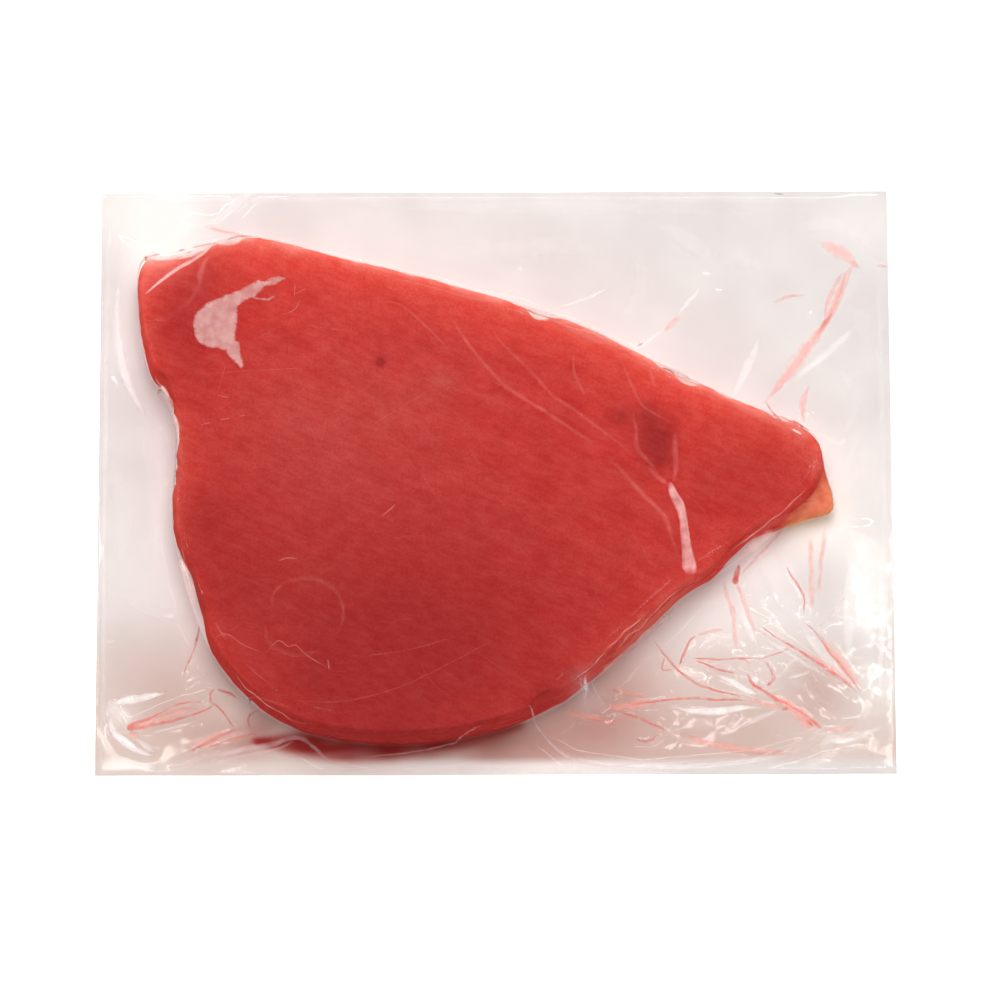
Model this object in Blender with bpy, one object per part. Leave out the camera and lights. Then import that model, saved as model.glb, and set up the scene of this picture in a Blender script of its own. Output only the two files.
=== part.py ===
"""A raw tuna steak sealed in a clear vacuum pouch, lying flat.

Three closed bodies: the steak, the lower film and the upper film. The lower film lies flat under
everything. The upper one is pressed over the steak, comes down its side and runs out over the
lower one as a rim, with low folds where it gathers. Metres, +Z up. The origin is under the middle
of the pouch, on the face it rests on.
"""

import bpy
import bmesh
import numpy as np

# Driving dimensions, in metres.
POUCH_LENGTH = 0.200
POUCH_WIDTH = 0.150
FILM_THICKNESS = 0.0003
CLEARANCE = 0.0003
STEAK_THICKNESS = 0.0205
TIP_THICKNESS = 0.0170
CORNER_DROP = 0.0060
RIM_START = 0.0012
RIM_RISE = 0.0050
RIM_FALL_LENGTH = 0.004
RIM_WAVE = 0.0005
RIM_WAVE_LENGTH = 0.070

MM = 0.001
POINTS_ROUND = 84
SPAN_POINTS = 16
INSET_STEP = 0.001
INSET_STEPS = 41
SMOOTHING = 0.5

# The steak's widest outline, anticlockwise from the upper corner of its narrow end, in millimetres.
STEAK_OUTLINE = [
    (80.5, 8.5),
    (62, 16.8),
    (40, 27),
    (22, 36.3),
    (-15, 48),
    (-40, 54.3),
    (-64, 59.8),
    (-75, 56.3),
    (-83, 54.8),
    (-88.7, 56.2),
    (-90, 50),
    (-87, 27),
    (-80.3, 14),
    (-80, -16),
    (-68, -49),
    (-51, -63.5),
    (-20, -68),
    (12, -60.3),
    (34, -43),
    (45, -32.5),
    (60, -22.5),
    (76, -9.5),
    (81.5, -3),
]
TOP_LEFT_CORNER = (-0.090, 0.058)
NARROW_END_START = 0.030
NARROW_END = 0.082

# Lower layers that reach past the upper ones: (place, direction, reach, radius).
LEDGES = [
    ((0.0815, -0.0060), (0.74, -0.67), 0.0055, 0.0040),
    ((0.0690, -0.0160), (0.62, -0.78), 0.0042, 0.0080),
]
LEDGE_FULL = 0.35
LEDGE_END = 0.62

# The steak's side, from its lower face to its upper one: (inset from the outline, share of thickness).
LOWER_FACE = [(0.034, 0.0), (0.016, 0.0), (0.0032, 0.0)]
SIDE = [(0.0008, 0.12), (0.0, 0.30), (0.0002, 0.55), (0.0014, 0.80), (0.0040, 0.95)]
UPPER_FACE = [(0.0080, 1.0), (0.016, 1.0), (0.028, 1.0), (0.040, 1.0)]
PRESSED = slice(None, 3, -1)

# The rim's rings, as shares of the way from the steak to the pouch's edge, and its gathered folds:
# (direction from the steak's middle in degrees, width in degrees, height).
RIM_STATIONS = [0.0, 0.10, 0.25, 0.50, 0.78, 1.0]
RIM_FOLDS = [
    (26, 4, 0.0016),
    (41, 3, 0.0012),
    (-22, 4, 0.0014),
    (-31, 3, 0.0018),
    (-42, 4, 0.0012),
    (-148, 4, 0.0016),
    (158, 4, 0.0010),
]

# Colours: (red, green, blue, alpha), linear.
FLESH_COLOUR = (0.50, 0.045, 0.038, 1.0)
FILM_COLOUR = (0.85, 0.80, 0.78, 0.25)


def clear_scene():
    for item in list(bpy.data.objects):
        bpy.data.objects.remove(item, do_unlink=True)


def closed_spline(knots):
    """A smooth closed line through the knots: a Catmull-Rom curve timed by the root of each span."""
    knots = np.asarray(knots, float)
    line = []
    for i in range(len(knots)):
        p0, p1, p2, p3 = (knots[(i + k) % len(knots)] for k in (-1, 0, 1, 2))
        t0 = 0.0
        t1 = t0 + np.linalg.norm(p1 - p0) ** 0.5
        t2 = t1 + np.linalg.norm(p2 - p1) ** 0.5
        t3 = t2 + np.linalg.norm(p3 - p2) ** 0.5
        t = np.linspace(t1, t2, SPAN_POINTS, endpoint=False)[:, None]
        a1 = ((t1 - t) * p0 + (t - t0) * p1) / (t1 - t0)
        a2 = ((t2 - t) * p1 + (t - t1) * p2) / (t2 - t1)
        a3 = ((t3 - t) * p2 + (t - t2) * p3) / (t3 - t2)
        b1 = ((t2 - t) * a1 + (t - t0) * a2) / (t2 - t0)
        b2 = ((t3 - t) * a2 + (t - t1) * a3) / (t3 - t1)
        line.append(((t2 - t) * b1 + (t - t1) * b2) / (t2 - t1))
    return np.concatenate(line)


def respaced(line, count):
    """The closed line with count points, evenly spaced, starting where it started."""
    loop = np.vstack([line, line[:1]])
    run = np.concatenate([[0.0], np.cumsum(np.linalg.norm(np.diff(loop, axis=0), axis=1))])
    wanted = np.linspace(0.0, run[-1], count, endpoint=False)
    return np.column_stack([np.interp(wanted, run, loop[:, axis]) for axis in (0, 1)])


def outward(line):
    """Unit normals in plan, pointing out of an anticlockwise closed line."""
    along = np.roll(line, -1, axis=0) - np.roll(line, 1, axis=0)
    normal = np.column_stack([along[:, 1], -along[:, 0]])
    return normal / np.linalg.norm(normal, axis=1)[:, None]


def inset_lines(outline):
    """The outline and the lines inside it, one for each step inwards, eased so that none crosses."""
    lines = [outline]
    for _ in range(INSET_STEPS):
        line = lines[-1] - INSET_STEP * outward(lines[-1])
        middle = (np.roll(line, 1, axis=0) + np.roll(line, -1, axis=0)) / 2
        lines.append(respaced(line + SMOOTHING * (middle - line), len(outline)))
    return lines


def line_at(lines, inset):
    """The line at any inset, read between two steps."""
    place = inset / INSET_STEP
    low = min(int(place), len(lines) - 2)
    return lines[low] + (place - low) * (lines[low + 1] - lines[low])


def eased(value, start, end):
    """0 before start, 1 after end, smooth between."""
    share = np.clip((value - start) / (end - start), 0.0, 1.0)
    return share * share * (3 - 2 * share)


def bump(plan, centre, radius):
    """1 at the centre, falling away over the radius."""
    return np.exp(-np.sum((plan - np.asarray(centre)) ** 2, axis=1) / (2 * radius * radius))


def thickness(plan):
    """How thick the steak is: thinner at its narrow end and cut down at its top left corner."""
    thinning = (STEAK_THICKNESS - TIP_THICKNESS) * eased(plan[:, 0], NARROW_END_START, NARROW_END)
    return STEAK_THICKNESS - thinning - CORNER_DROP * bump(plan, TOP_LEFT_CORNER, 0.010)


def with_ledges(plan, share):
    """Below half height the narrow end slants out, to a corner of skin that sticks out furthest."""
    moved = plan.copy()
    for place, direction, reach, radius in LEDGES:
        length = reach * bump(plan, place, radius) * (1 - eased(share, LEDGE_FULL, LEDGE_END))
        moved += length[:, None] * np.asarray(direction)
    return moved


def steak_rings(lines):
    """The steak as rings of points, from the middle of its lower face to that of its upper one."""
    lift = FILM_THICKNESS + CLEARANCE
    rings = []
    for inset, share in LOWER_FACE + SIDE + UPPER_FACE:
        plan = with_ledges(line_at(lines, inset), share)
        rings.append(np.column_stack([plan, lift + share * thickness(plan)]))
    return np.array(rings)


def raised(rings, distance):
    """The rings moved out along the surface's own normals, and never below the table."""
    around = np.roll(rings, -1, axis=1) - np.roll(rings, 1, axis=1)
    across = np.gradient(rings, axis=0)
    normal = np.cross(around, across)
    normal /= np.linalg.norm(normal, axis=2)[:, :, None]
    moved = rings + distance * normal
    moved[:, :, 2] = np.maximum(moved[:, :, 2], 0.0)
    return moved


def rectangle_points(line, centre):
    """Where rays from the centre through the line meet the pouch's edge, with its corners kept."""
    half = np.array([POUCH_LENGTH, POUCH_WIDTH]) / 2
    ray = line - centre
    reach = np.where(ray > 0, half - centre, -half - centre) / ray
    points = centre + ray * reach.min(axis=1)[:, None]
    for x in (-half[0], half[0]):
        for y in (-half[1], half[1]):
            corner = np.array([x, y])
            points[np.argmin(np.linalg.norm(points - corner, axis=1))] = corner
    return points


def rim_height(plan, centre, distance, share):
    """Height of the upper film's rim: a steep fall from the steak, long waves and gathered folds."""
    turn = 2 * np.pi / RIM_WAVE_LENGTH
    wave = 1 + np.sin(turn * plan[:, 0]) * np.cos(turn * plan[:, 1])
    height = RIM_RISE * np.exp(-distance / RIM_FALL_LENGTH) + RIM_WAVE * wave * share
    bearing = np.degrees(np.arctan2(plan[:, 1] - centre[1], plan[:, 0] - centre[0]))
    for direction, width, fold in RIM_FOLDS:
        across = (bearing - direction) / width
        height += fold * np.exp(-across * across) * np.sin(np.pi * share)
    return FILM_THICKNESS + CLEARANCE + height


def rim_rings(outline, centre, lift):
    """The rim's rings from the steak out to the pouch's edge, on its lower face plus the lift."""
    start = outline + RIM_START * outward(outline)
    edge = rectangle_points(start, centre)
    rings = []
    for share in RIM_STATIONS:
        plan = start + share * (edge - start)
        distance = np.linalg.norm(plan - start, axis=1)
        height = rim_height(plan, centre, distance, share)
        rings.append(np.column_stack([plan, height + lift]))
    return np.array(rings)


def upper_film_rings(steak, outline, centre):
    """The upper film: out over the face that touches the steak, and back over the other one."""
    inner = raised(steak, CLEARANCE)[PRESSED]
    outer = raised(steak, CLEARANCE + FILM_THICKNESS)[PRESSED]
    inner = np.concatenate([inner, rim_rings(outline, centre, 0.0)])
    outer = np.concatenate([outer, rim_rings(outline, centre, FILM_THICKNESS)])
    return np.concatenate([inner, outer[::-1]])


def colour_material(name, colour, roughness):
    material = bpy.data.materials.new(name)
    material.use_nodes = True
    shader = material.node_tree.nodes["Principled BSDF"]
    shader.inputs["Base Color"].default_value = colour
    shader.inputs["Alpha"].default_value = colour[3]
    shader.inputs["Roughness"].default_value = roughness
    shader.inputs["Metallic"].default_value = 0.0
    return material


def add_body(name, shape, material):
    """Closes the bmesh into a named object of its own."""
    bmesh.ops.triangulate(shape, faces=shape.faces, quad_method="SHORT_EDGE")
    bmesh.ops.recalc_face_normals(shape, faces=shape.faces)
    mesh = bpy.data.meshes.new(name)
    shape.to_mesh(mesh)
    shape.free()
    mesh.materials.append(material)
    body = bpy.data.objects.new(name, mesh)
    bpy.context.collection.objects.link(body)
    return body


def lofted(name, rings, material):
    """A closed body through the rings, with a point closing the middle of its first and last one."""
    shape = bmesh.new()
    loops = [[shape.verts.new(point) for point in ring] for ring in rings]
    for lower, upper in zip(loops, loops[1:]):
        for i in range(len(lower)):
            j = (i + 1) % len(lower)
            shape.faces.new((lower[i], lower[j], upper[j], upper[i]))
    for ring, loop in ((rings[0], loops[0]), (rings[-1], loops[-1])):
        pole = shape.verts.new(ring.mean(axis=0))
        for i in range(len(loop)):
            shape.faces.new((loop[i], loop[(i + 1) % len(loop)], pole))
    body = add_body(name, shape, material)
    body.data.shade_smooth()
    return body


def flat_sheet(name, material):
    """The lower film: a rectangle of film lying on the table."""
    shape = bmesh.new()
    bmesh.ops.create_cube(shape, size=1.0)
    bmesh.ops.scale(shape, vec=(POUCH_LENGTH, POUCH_WIDTH, FILM_THICKNESS), verts=shape.verts)
    bmesh.ops.translate(shape, vec=(0.0, 0.0, FILM_THICKNESS / 2), verts=shape.verts)
    return add_body(name, shape, material)


def build():
    clear_scene()
    outline = respaced(closed_spline(np.array(STEAK_OUTLINE) * MM), POINTS_ROUND)
    lines = inset_lines(outline)
    steak = steak_rings(lines)
    centre = lines[-1].mean(axis=0)
    film = upper_film_rings(steak, with_ledges(outline, 0.0), centre)
    lofted("tuna_steak", steak, colour_material("raw_flesh", FLESH_COLOUR, 0.45))
    lofted("film_upper", film, colour_material("upper_film", FILM_COLOUR, 0.08))
    flat_sheet("film_lower", colour_material("lower_film", FILM_COLOUR, 0.08))


build()
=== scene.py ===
import bmesh
import bpy
import numpy as np
from mathutils import Matrix, Vector, noise
from mathutils.bvhtree import BVHTree


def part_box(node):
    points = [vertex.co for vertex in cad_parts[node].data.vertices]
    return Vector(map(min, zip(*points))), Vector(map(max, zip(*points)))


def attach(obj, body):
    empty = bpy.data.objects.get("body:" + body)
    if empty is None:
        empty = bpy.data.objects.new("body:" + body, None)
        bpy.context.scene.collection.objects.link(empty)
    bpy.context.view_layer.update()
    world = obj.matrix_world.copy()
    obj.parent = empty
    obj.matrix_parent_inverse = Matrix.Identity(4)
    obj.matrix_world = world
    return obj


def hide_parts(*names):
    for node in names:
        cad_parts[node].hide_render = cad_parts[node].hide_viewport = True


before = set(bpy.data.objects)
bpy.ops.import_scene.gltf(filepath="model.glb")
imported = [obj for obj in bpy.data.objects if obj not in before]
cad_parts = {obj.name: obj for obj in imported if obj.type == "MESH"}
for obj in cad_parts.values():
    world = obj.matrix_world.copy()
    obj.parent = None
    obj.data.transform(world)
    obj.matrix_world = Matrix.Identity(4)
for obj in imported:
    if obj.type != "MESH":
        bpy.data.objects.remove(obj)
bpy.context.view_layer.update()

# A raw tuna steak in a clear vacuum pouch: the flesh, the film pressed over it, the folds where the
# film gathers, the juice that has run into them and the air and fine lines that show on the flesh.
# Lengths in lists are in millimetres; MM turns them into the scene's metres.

MM = 0.001
BODY = "root"

# --- sizes ------------------------------------------------------------------------------------

_, POUCH_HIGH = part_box("film_upper")
FLESH_LOW, FLESH_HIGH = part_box("tuna_steak")
POUCH_HALF = np.array([POUCH_HIGH.x, POUCH_HIGH.y])
FLESH_LIFT = FLESH_LOW.z
FLESH_THICKNESS = FLESH_HIGH.z - FLESH_LOW.z
# The narrow end is thinner, between these two places along the steak.
TIP_THICKNESS = 0.83 * FLESH_THICKNESS
TIP_START, TIP_END = 30 * MM, 82 * MM
# The top left corner is cut down: (place, radius, amount in millimetres).
CUT_CORNER = [((-90, 58), 10, 6)]

# The steak's widest outline, anticlockwise from the upper corner of its narrow end.
STEAK_OUTLINE = [
    (80.5, 8.5), (62, 16.8), (40, 27), (22, 36.3), (-15, 48), (-40, 54.3), (-64, 59.8), (-75, 56.3),
    (-83, 54.8), (-88.7, 56.2), (-90, 50), (-87, 27), (-80.3, 14), (-80, -16), (-68, -49), (-51, -63.5),
    (-20, -68), (12, -60.3), (34, -43), (45, -32.5), (60, -22.5), (76, -9.5), (81.5, -3),
]
# Points for each knot of the outline, for the outline itself, and for the lines laid beside it.
OUTLINE_KNOT_POINTS = 24
OUTLINE_POINTS = 168
FINE_OUTLINE_POINTS = 700

# Lines inside the outline, one for each step, eased so that none crosses itself.
INSET_STEP = 0.5 * MM
INSET_STEPS = 82
EASING_PASSES = 2
# How many times the points of those lines the flesh has, and the film with its finer folds.
FLESH_FINENESS = 3
FILM_FINENESS = 4

# The steak's section from its lower face to its upper one: (inset, share of the thickness).
SECTION_LOWER = [(40, 0), (24, 0), (12, 0), (6, 0)]
SECTION_SIDE = [
    (3.2, 0), (1.9, 0.03), (0.8, 0.12), (0, 0.3), (0.1, 0.55), (0.4, 0.82), (0.9, 0.93), (1.7, 0.978),
    (3.2, 0.996), (6, 1),
]
# Points for each knot of the side. The upper face has this many stations, closest at its edge.
SIDE_POINTS = 5
UPPER_STATIONS = 46
UPPER_SPREAD = 1.25
# The middle points that close the two faces count as this far in.
MIDDLE_INSET = 40 * MM

# Lower layers that reach past the upper ones: (place, direction, reach, radius). They end between
# these shares of the thickness.
LEDGES = [
    ((81.5, -6), (0.78, -0.62), 5.6, 3.6),
    ((76.5, -10), (0.45, -0.89), 1.6, 4),
]
LEDGE_TOP = (0.35, 0.62)

# Hollows in the flesh's edge that the film bridges: (place, depth, radius, lowest height).
EDGE_NICKS = [
    ((10.8, 39.5), 1.1, 2.4, 12), ((14, 38), 0.5, 1.6, 8), ((43, 26), 0.7, 2.2, 8),
    ((48, 22.5), 0.9, 2.4, 12), ((57, 18.5), 0.4, 1.8, 8), ((71, 12.5), 0.8, 2, 6),
    ((77, 9.5), 0.4, 1.8, 6), ((-83.5, 21), 1.6, 1.9, -20), ((-81, 16.5), 0.9, 1.2, -20),
    ((-79.8, 1), 0.9, 0.9, -20), ((-79.6, -3), 0.6, 0.9, -20), ((-79.6, 8), 0.7, 2, -20),
    ((-76.5, -28), 1.9, 4.5, -20), ((-73.5, -36), 1.2, 3, -20), ((-90, 56), 0.8, 3, -20),
    ((-84, 55.5), 0.6, 2.6, -20), ((-77, 56.5), 1.2, 3.5, -20), ((-66.5, 59.5), 1, 2.6, 12),
    ((65, -19), 2.4, 4.2, -20), ((59, -23), 1, 2.5, -20), ((35, -42), 0.6, 2.5, 10),
    ((26, -49.5), 0.7, 2, 10), ((12, -59), 2.2, 2.6, 3), ((19, -54), 1.2, 1.6, 3),
]
# A nick begins at its lowest height and is complete this far above it.
NICK_SLOPE = 8 * MM

# --- shape functions --------------------------------------------------------------------------


def closed_spline(knots, span_points):
    """A smooth closed line through the knots: a Catmull-Rom curve timed by the root of each span."""
    knots = np.asarray(knots, float)
    line = []
    for i in range(len(knots)):
        p0, p1, p2, p3 = (knots[(i + k) % len(knots)] for k in (-1, 0, 1, 2))
        line.append(spline_span(p0, p1, p2, p3, span_points))
    return np.concatenate(line)


def open_spline(knots, span_points):
    """The same smooth line, open, from the first knot to the last."""
    knots = np.asarray(knots, float)
    ends = [2 * knots[0] - knots[1], *knots, 2 * knots[-1] - knots[-2]]
    spans = [spline_span(*ends[i : i + 4], span_points) for i in range(len(knots) - 1)]
    return np.concatenate([*spans, knots[-1:]])


def spline_span(p0, p1, p2, p3, points):
    """The span from p1 to p2."""
    gaps = [max(np.linalg.norm(b - a), 1e-9) ** 0.5 for a, b in ((p0, p1), (p1, p2), (p2, p3))]
    t0, t1, t2, t3 = np.cumsum([0.0, *gaps])
    t = np.linspace(t1, t2, points, endpoint=False)[:, None]
    a1 = ((t1 - t) * p0 + (t - t0) * p1) / (t1 - t0)
    a2 = ((t2 - t) * p1 + (t - t1) * p2) / (t2 - t1)
    a3 = ((t3 - t) * p2 + (t - t2) * p3) / (t3 - t2)
    b1 = ((t2 - t) * a1 + (t - t0) * a2) / (t2 - t0)
    b2 = ((t3 - t) * a2 + (t - t1) * a3) / (t3 - t1)
    return ((t2 - t) * b1 + (t - t1) * b2) / (t2 - t1)


def finer(lines, times):
    """Closed lines with so many times the points."""
    return [closed_spline(line, times) for line in lines]


def respaced(line, count, closed=True):
    """The line with count points, evenly spaced, starting where it started."""
    run_line = np.vstack([line, line[:1]]) if closed else np.asarray(line)
    run = np.concatenate([[0.0], np.cumsum(np.linalg.norm(np.diff(run_line, axis=0), axis=1))])
    wanted = np.linspace(0.0, run[-1], count, endpoint=not closed)
    return np.column_stack([np.interp(wanted, run, axis) for axis in run_line.T])


def outward(line):
    """Unit normals in plan, pointing out of an anticlockwise closed line."""
    along = np.roll(line, -1, axis=0) - np.roll(line, 1, axis=0)
    normal = np.column_stack([along[:, 1], -along[:, 0]])
    return normal / np.linalg.norm(normal, axis=1)[:, None]


def steak_outline(count):
    """The steak's outline with count points, in metres."""
    return respaced(closed_spline(np.array(STEAK_OUTLINE) * MM, OUTLINE_KNOT_POINTS), count)


def inset_lines(outline):
    """The outline and the lines inside it, one for each step inwards, eased so that none crosses."""
    lines = [outline]
    for _ in range(INSET_STEPS):
        line = lines[-1] - INSET_STEP * outward(lines[-1])
        for _ in range(EASING_PASSES):
            line = (np.roll(line, 1, axis=0) + np.roll(line, -1, axis=0)) / 4 + line / 2
        lines.append(respaced(line, len(outline)))
    return lines


def line_at(lines, inset):
    """The line at any inset, read between two steps."""
    place = inset / INSET_STEP
    low = min(int(place), len(lines) - 2)
    return lines[low] + (place - low) * (lines[low + 1] - lines[low])


def eased(value, start, end):
    """0 before start, 1 after end, smooth between."""
    share = np.clip((value - start) / (end - start), 0.0, 1.0)
    return share * share * (3 - 2 * share)


def bump(plan, centre, radius):
    """1 at the centre, falling away over the radius. The centre and radius are in millimetres."""
    offset = plan[:, :2] - np.asarray(centre) * MM
    return np.exp(-np.sum(offset**2, axis=1) / (2 * (radius * MM) ** 2))


def sum_of_bumps(points, places):
    """The bumps of all the places, added up: (place, radius, amount)."""
    return sum(amount * bump(points, place, radius) for place, radius, amount in places)


def ripple(points, size, seed):
    """Smooth noise from -1 to 1, with lumps about size millimetres across."""
    shift = Vector((seed * 7.1, seed * 3.7, seed * 5.3))
    return np.array([noise.noise(Vector(p) / (size * MM) + shift) for p in points])


def lumps(points, height, size, seed):
    """Uneven relief of that height, in lumps of that size, both in millimetres."""
    return height * MM * ripple(points, size, seed)


def thickness(plan):
    """How thick the steak is: thinner at its narrow end, cut down at its top left corner."""
    tip = eased(plan[:, 0], TIP_START, TIP_END)
    corner = sum_of_bumps(plan, CUT_CORNER) * MM
    return FLESH_THICKNESS - (FLESH_THICKNESS - TIP_THICKNESS) * tip - corner


def with_ledges(plan, share):
    """Below half height the narrow end slants out, to a corner of skin that sticks out furthest."""
    moved = plan.copy()
    for place, direction, reach, radius in LEDGES:
        length = reach * MM * bump(plan, place, radius) * (1 - eased(share, *LEDGE_TOP))
        moved += length[:, None] * np.asarray(direction)
    return moved


def section():
    """The steak's section as fine stations, from the middle of the lower face to the upper one's."""
    side = open_spline(SECTION_SIDE, SIDE_POINTS)
    top_start, top_end = SECTION_SIDE[-1][0], INSET_STEPS * INSET_STEP / MM
    spread = np.linspace(0, 1, UPPER_STATIONS)[1:] ** UPPER_SPREAD
    upper = np.column_stack([top_start + (top_end - top_start) * spread, np.ones(len(spread))])
    stations = np.concatenate([np.array(SECTION_LOWER, float), side, upper])
    stations[:, 0] = np.maximum(stations[:, 0] * MM, 0.0)
    return stations


def steak_rings(lines, stations):
    """One closed line round the steak for each station of its section."""
    rings = []
    for inset, share in stations:
        plan = with_ledges(line_at(lines, inset), share)
        rings.append(np.column_stack([plan, FLESH_LIFT + share * thickness(plan)]))
    return np.array(rings)


def ring_normals(rings):
    """Unit normals of the surface through the rings."""
    around = np.roll(rings, -1, axis=1) - np.roll(rings, 1, axis=1)
    across = np.gradient(rings, axis=0)
    normal = np.cross(around, across)
    return normal / np.maximum(np.linalg.norm(normal, axis=2), 1e-12)[:, :, None]


def mesh_from_rings(name, rings):
    """A closed mesh through the rings, with a point closing the middle of its first and last one."""
    count, round_points = rings.shape[:2]
    points = np.concatenate([rings.reshape(-1, 3), rings[:1].mean(axis=1), rings[-1:].mean(axis=1)])
    faces = []
    for ring in range(count - 1):
        for i in range(round_points):
            j = (i + 1) % round_points
            low, high = ring * round_points, (ring + 1) * round_points
            faces.append((low + i, low + j, high + j, high + i))
    first, last = count * round_points, count * round_points + 1
    top = (count - 1) * round_points
    for i in range(round_points):
        j = (i + 1) % round_points
        faces.append((j, i, first))
        faces.append((top + i, top + j, last))
    mesh = bpy.data.meshes.new(name)
    mesh.from_pydata(points.tolist(), [], faces)
    mesh.shade_smooth()
    return add_piece(name, mesh)


def add_piece(name, data):
    """A new piece, lamp, camera or guide in the scene."""
    piece = bpy.data.objects.new(name, data)
    bpy.context.scene.collection.objects.link(piece)
    return piece


def paint(piece, name, values):
    """Stores one number for each point of the piece's mesh, for its material to read."""
    layer = piece.data.attributes.new(name, "FLOAT", "POINT")
    layer.data.foreach_set("value", np.asarray(values, np.float32))


def near_step(plan, start, end):
    """How far along the step from start to end each point lies, and its distance from the step."""
    along = (end - start)[:2]
    share = np.clip((plan[:, :2] - start[:2]) @ along / (along @ along), 0.0, 1.0)
    return share, np.linalg.norm(plan[:, :2] - start[:2] - share[:, None] * along, axis=1)


def path_nearness(plan, path, width, fade=0.15, power=2):
    """1 on the path, falling away over the width, and fading out towards its two ends. A point of
    the path with a third number has its own width."""
    knots = np.array([(*knot, width)[:3] for knot in path], float) * MM
    steps = np.linalg.norm(np.diff(knots[:, :2], axis=0), axis=1)
    nearest = np.full(len(plan), np.inf)
    place = np.zeros(len(plan))
    reach = np.full(len(plan), width * MM)
    run = 0.0
    for start, end, step in zip(knots, knots[1:], steps):
        share, distance = near_step(plan, start, end)
        closer = distance < nearest
        nearest = np.where(closer, distance, nearest)
        place = np.where(closer, (run + share * step) / steps.sum(), place)
        reach = np.where(closer, start[2] + share * (end[2] - start[2]), reach)
        run += step
    ends = eased(place, 0.0, fade) * eased(1 - place, 0.0, fade)
    return np.exp(-((nearest / reach) ** power)) * ends


# --- the steak --------------------------------------------------------------------------------

# Places where the flesh is darker, greyer, paler at its edge, or skin: (place, radius, amount).
# The broad darker places are painted shade, darker towards the front and the left; the small ones
# are darker flesh. The paler edges are partly frost and partly painted light.
DARK_SPOTS_AND_SHADE = [
    ((39, 8), 3.2, 0.8), ((41, 2), 2.8, 0.9), ((38, 13), 2.2, 0.5), ((43, 7), 1.6, 0.4),
    ((31.5, 12), 1.3, 0.7), ((-28.5, 26), 0.75, 1.2), ((-28.5, 26), 1.8, 0.35), ((-36, -53), 6, 0.25),
    ((-26, -58), 5, 0.2), ((-79, 38), 6, 0.5), ((-72, 48), 5, 0.4), ((-76, 26), 7, 0.3),
    ((-72, -14), 5, 0.35), ((-64, -30), 7, 0.3), ((72, -2), 9, 0.35), ((60, 2), 9, 0.2),
    ((-42, -50), 24, 0.7), ((-8, -52), 24, 0.6), ((-70, -8), 20, 0.3), ((20, -30), 26, 0.2),
    ((-20, 0), 30, 0.2),
]
GREY_PLACES = [
    ((-38, -2), 16, 0.45), ((-22, 16), 14, 0.3), ((-54, 14), 12, 0.25), ((-46, -36), 12, 0.3),
    ((-13, 21), 2, 0.7), ((16, -20), 18, 0.12),
]
FROST_AND_LIGHT_EDGES = [
    ((36, -39), 12, 0.5), ((22, 33), 7, 0.5), ((3, 41), 8, 0.35), ((50, 21), 8, 0.35),
]
SKIN_PLACES = [((84, -11), 4.5, 1.2), ((78, -13.5), 4, 1), ((83, -4), 3, 0.5)]
# The skin ends between these shares of the thickness.
SKIN_TOP = (0.55, 0.85)

# Lumps of the whole surface, of its edge, and of its upper edge: (height, size, seed).
FACE_LUMPS = [(0.22, 9, 1), (0.07, 2.5, 2)]
EDGE_LUMPS = (0.22, 3.5, 12)
UPPER_EDGE_LUMPS = (0.25, 1.8, 18)
UPPER_EDGE = (8 * MM, 14 * MM)
EDGE_REACH = 1.5 * MM
LEVEL_BELOW = 3 * MM

# The paler rim is a painted glow, standing in for light through the flesh's rounded upper edge.
# Its reach in millimetres: everywhere, more at the back, and more at the narrow end.
RIM_REACH, RIM_BACK, RIM_TIP = 5.2, 2.6, 2.5
RIM_TIP_START, RIM_TIP_END = 30 * MM, 60 * MM
# The reach of the pale edge at the back, frost with painted light where the edge faces the back
# lamp, and at the pale places, which are partly frost and partly painted light.
FROST_AND_LIGHT_BACK = 2.6 * MM
FROST_AND_LIGHT_REACH = 1.8 * MM


def shaped_flesh(rings, stations):
    """The rings with the flesh's lumps, rough upper edge and nicks."""
    flat = rings.reshape(-1, 3)
    height = flat[:, 2]
    near_edge = np.repeat(np.exp(-stations[:, 0] / EDGE_REACH), rings.shape[1])
    depth = sum(lumps(flat, *kind) for kind in FACE_LUMPS)
    depth += lumps(flat, *EDGE_LUMPS) * near_edge
    depth *= eased(height, FLESH_LIFT, FLESH_LIFT + LEVEL_BELOW)
    for place, hollow, radius, lowest in EDGE_NICKS:
        above = eased(height, lowest * MM, lowest * MM + NICK_SLOPE)
        depth -= hollow * MM * bump(flat, place, radius) * above
    depth += lumps(flat, *UPPER_EDGE_LUMPS) * near_edge * eased(height, *UPPER_EDGE)
    shaped = flat + depth[:, None] * ring_normals(rings).reshape(-1, 3)
    return shaped.reshape(rings.shape)


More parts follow.
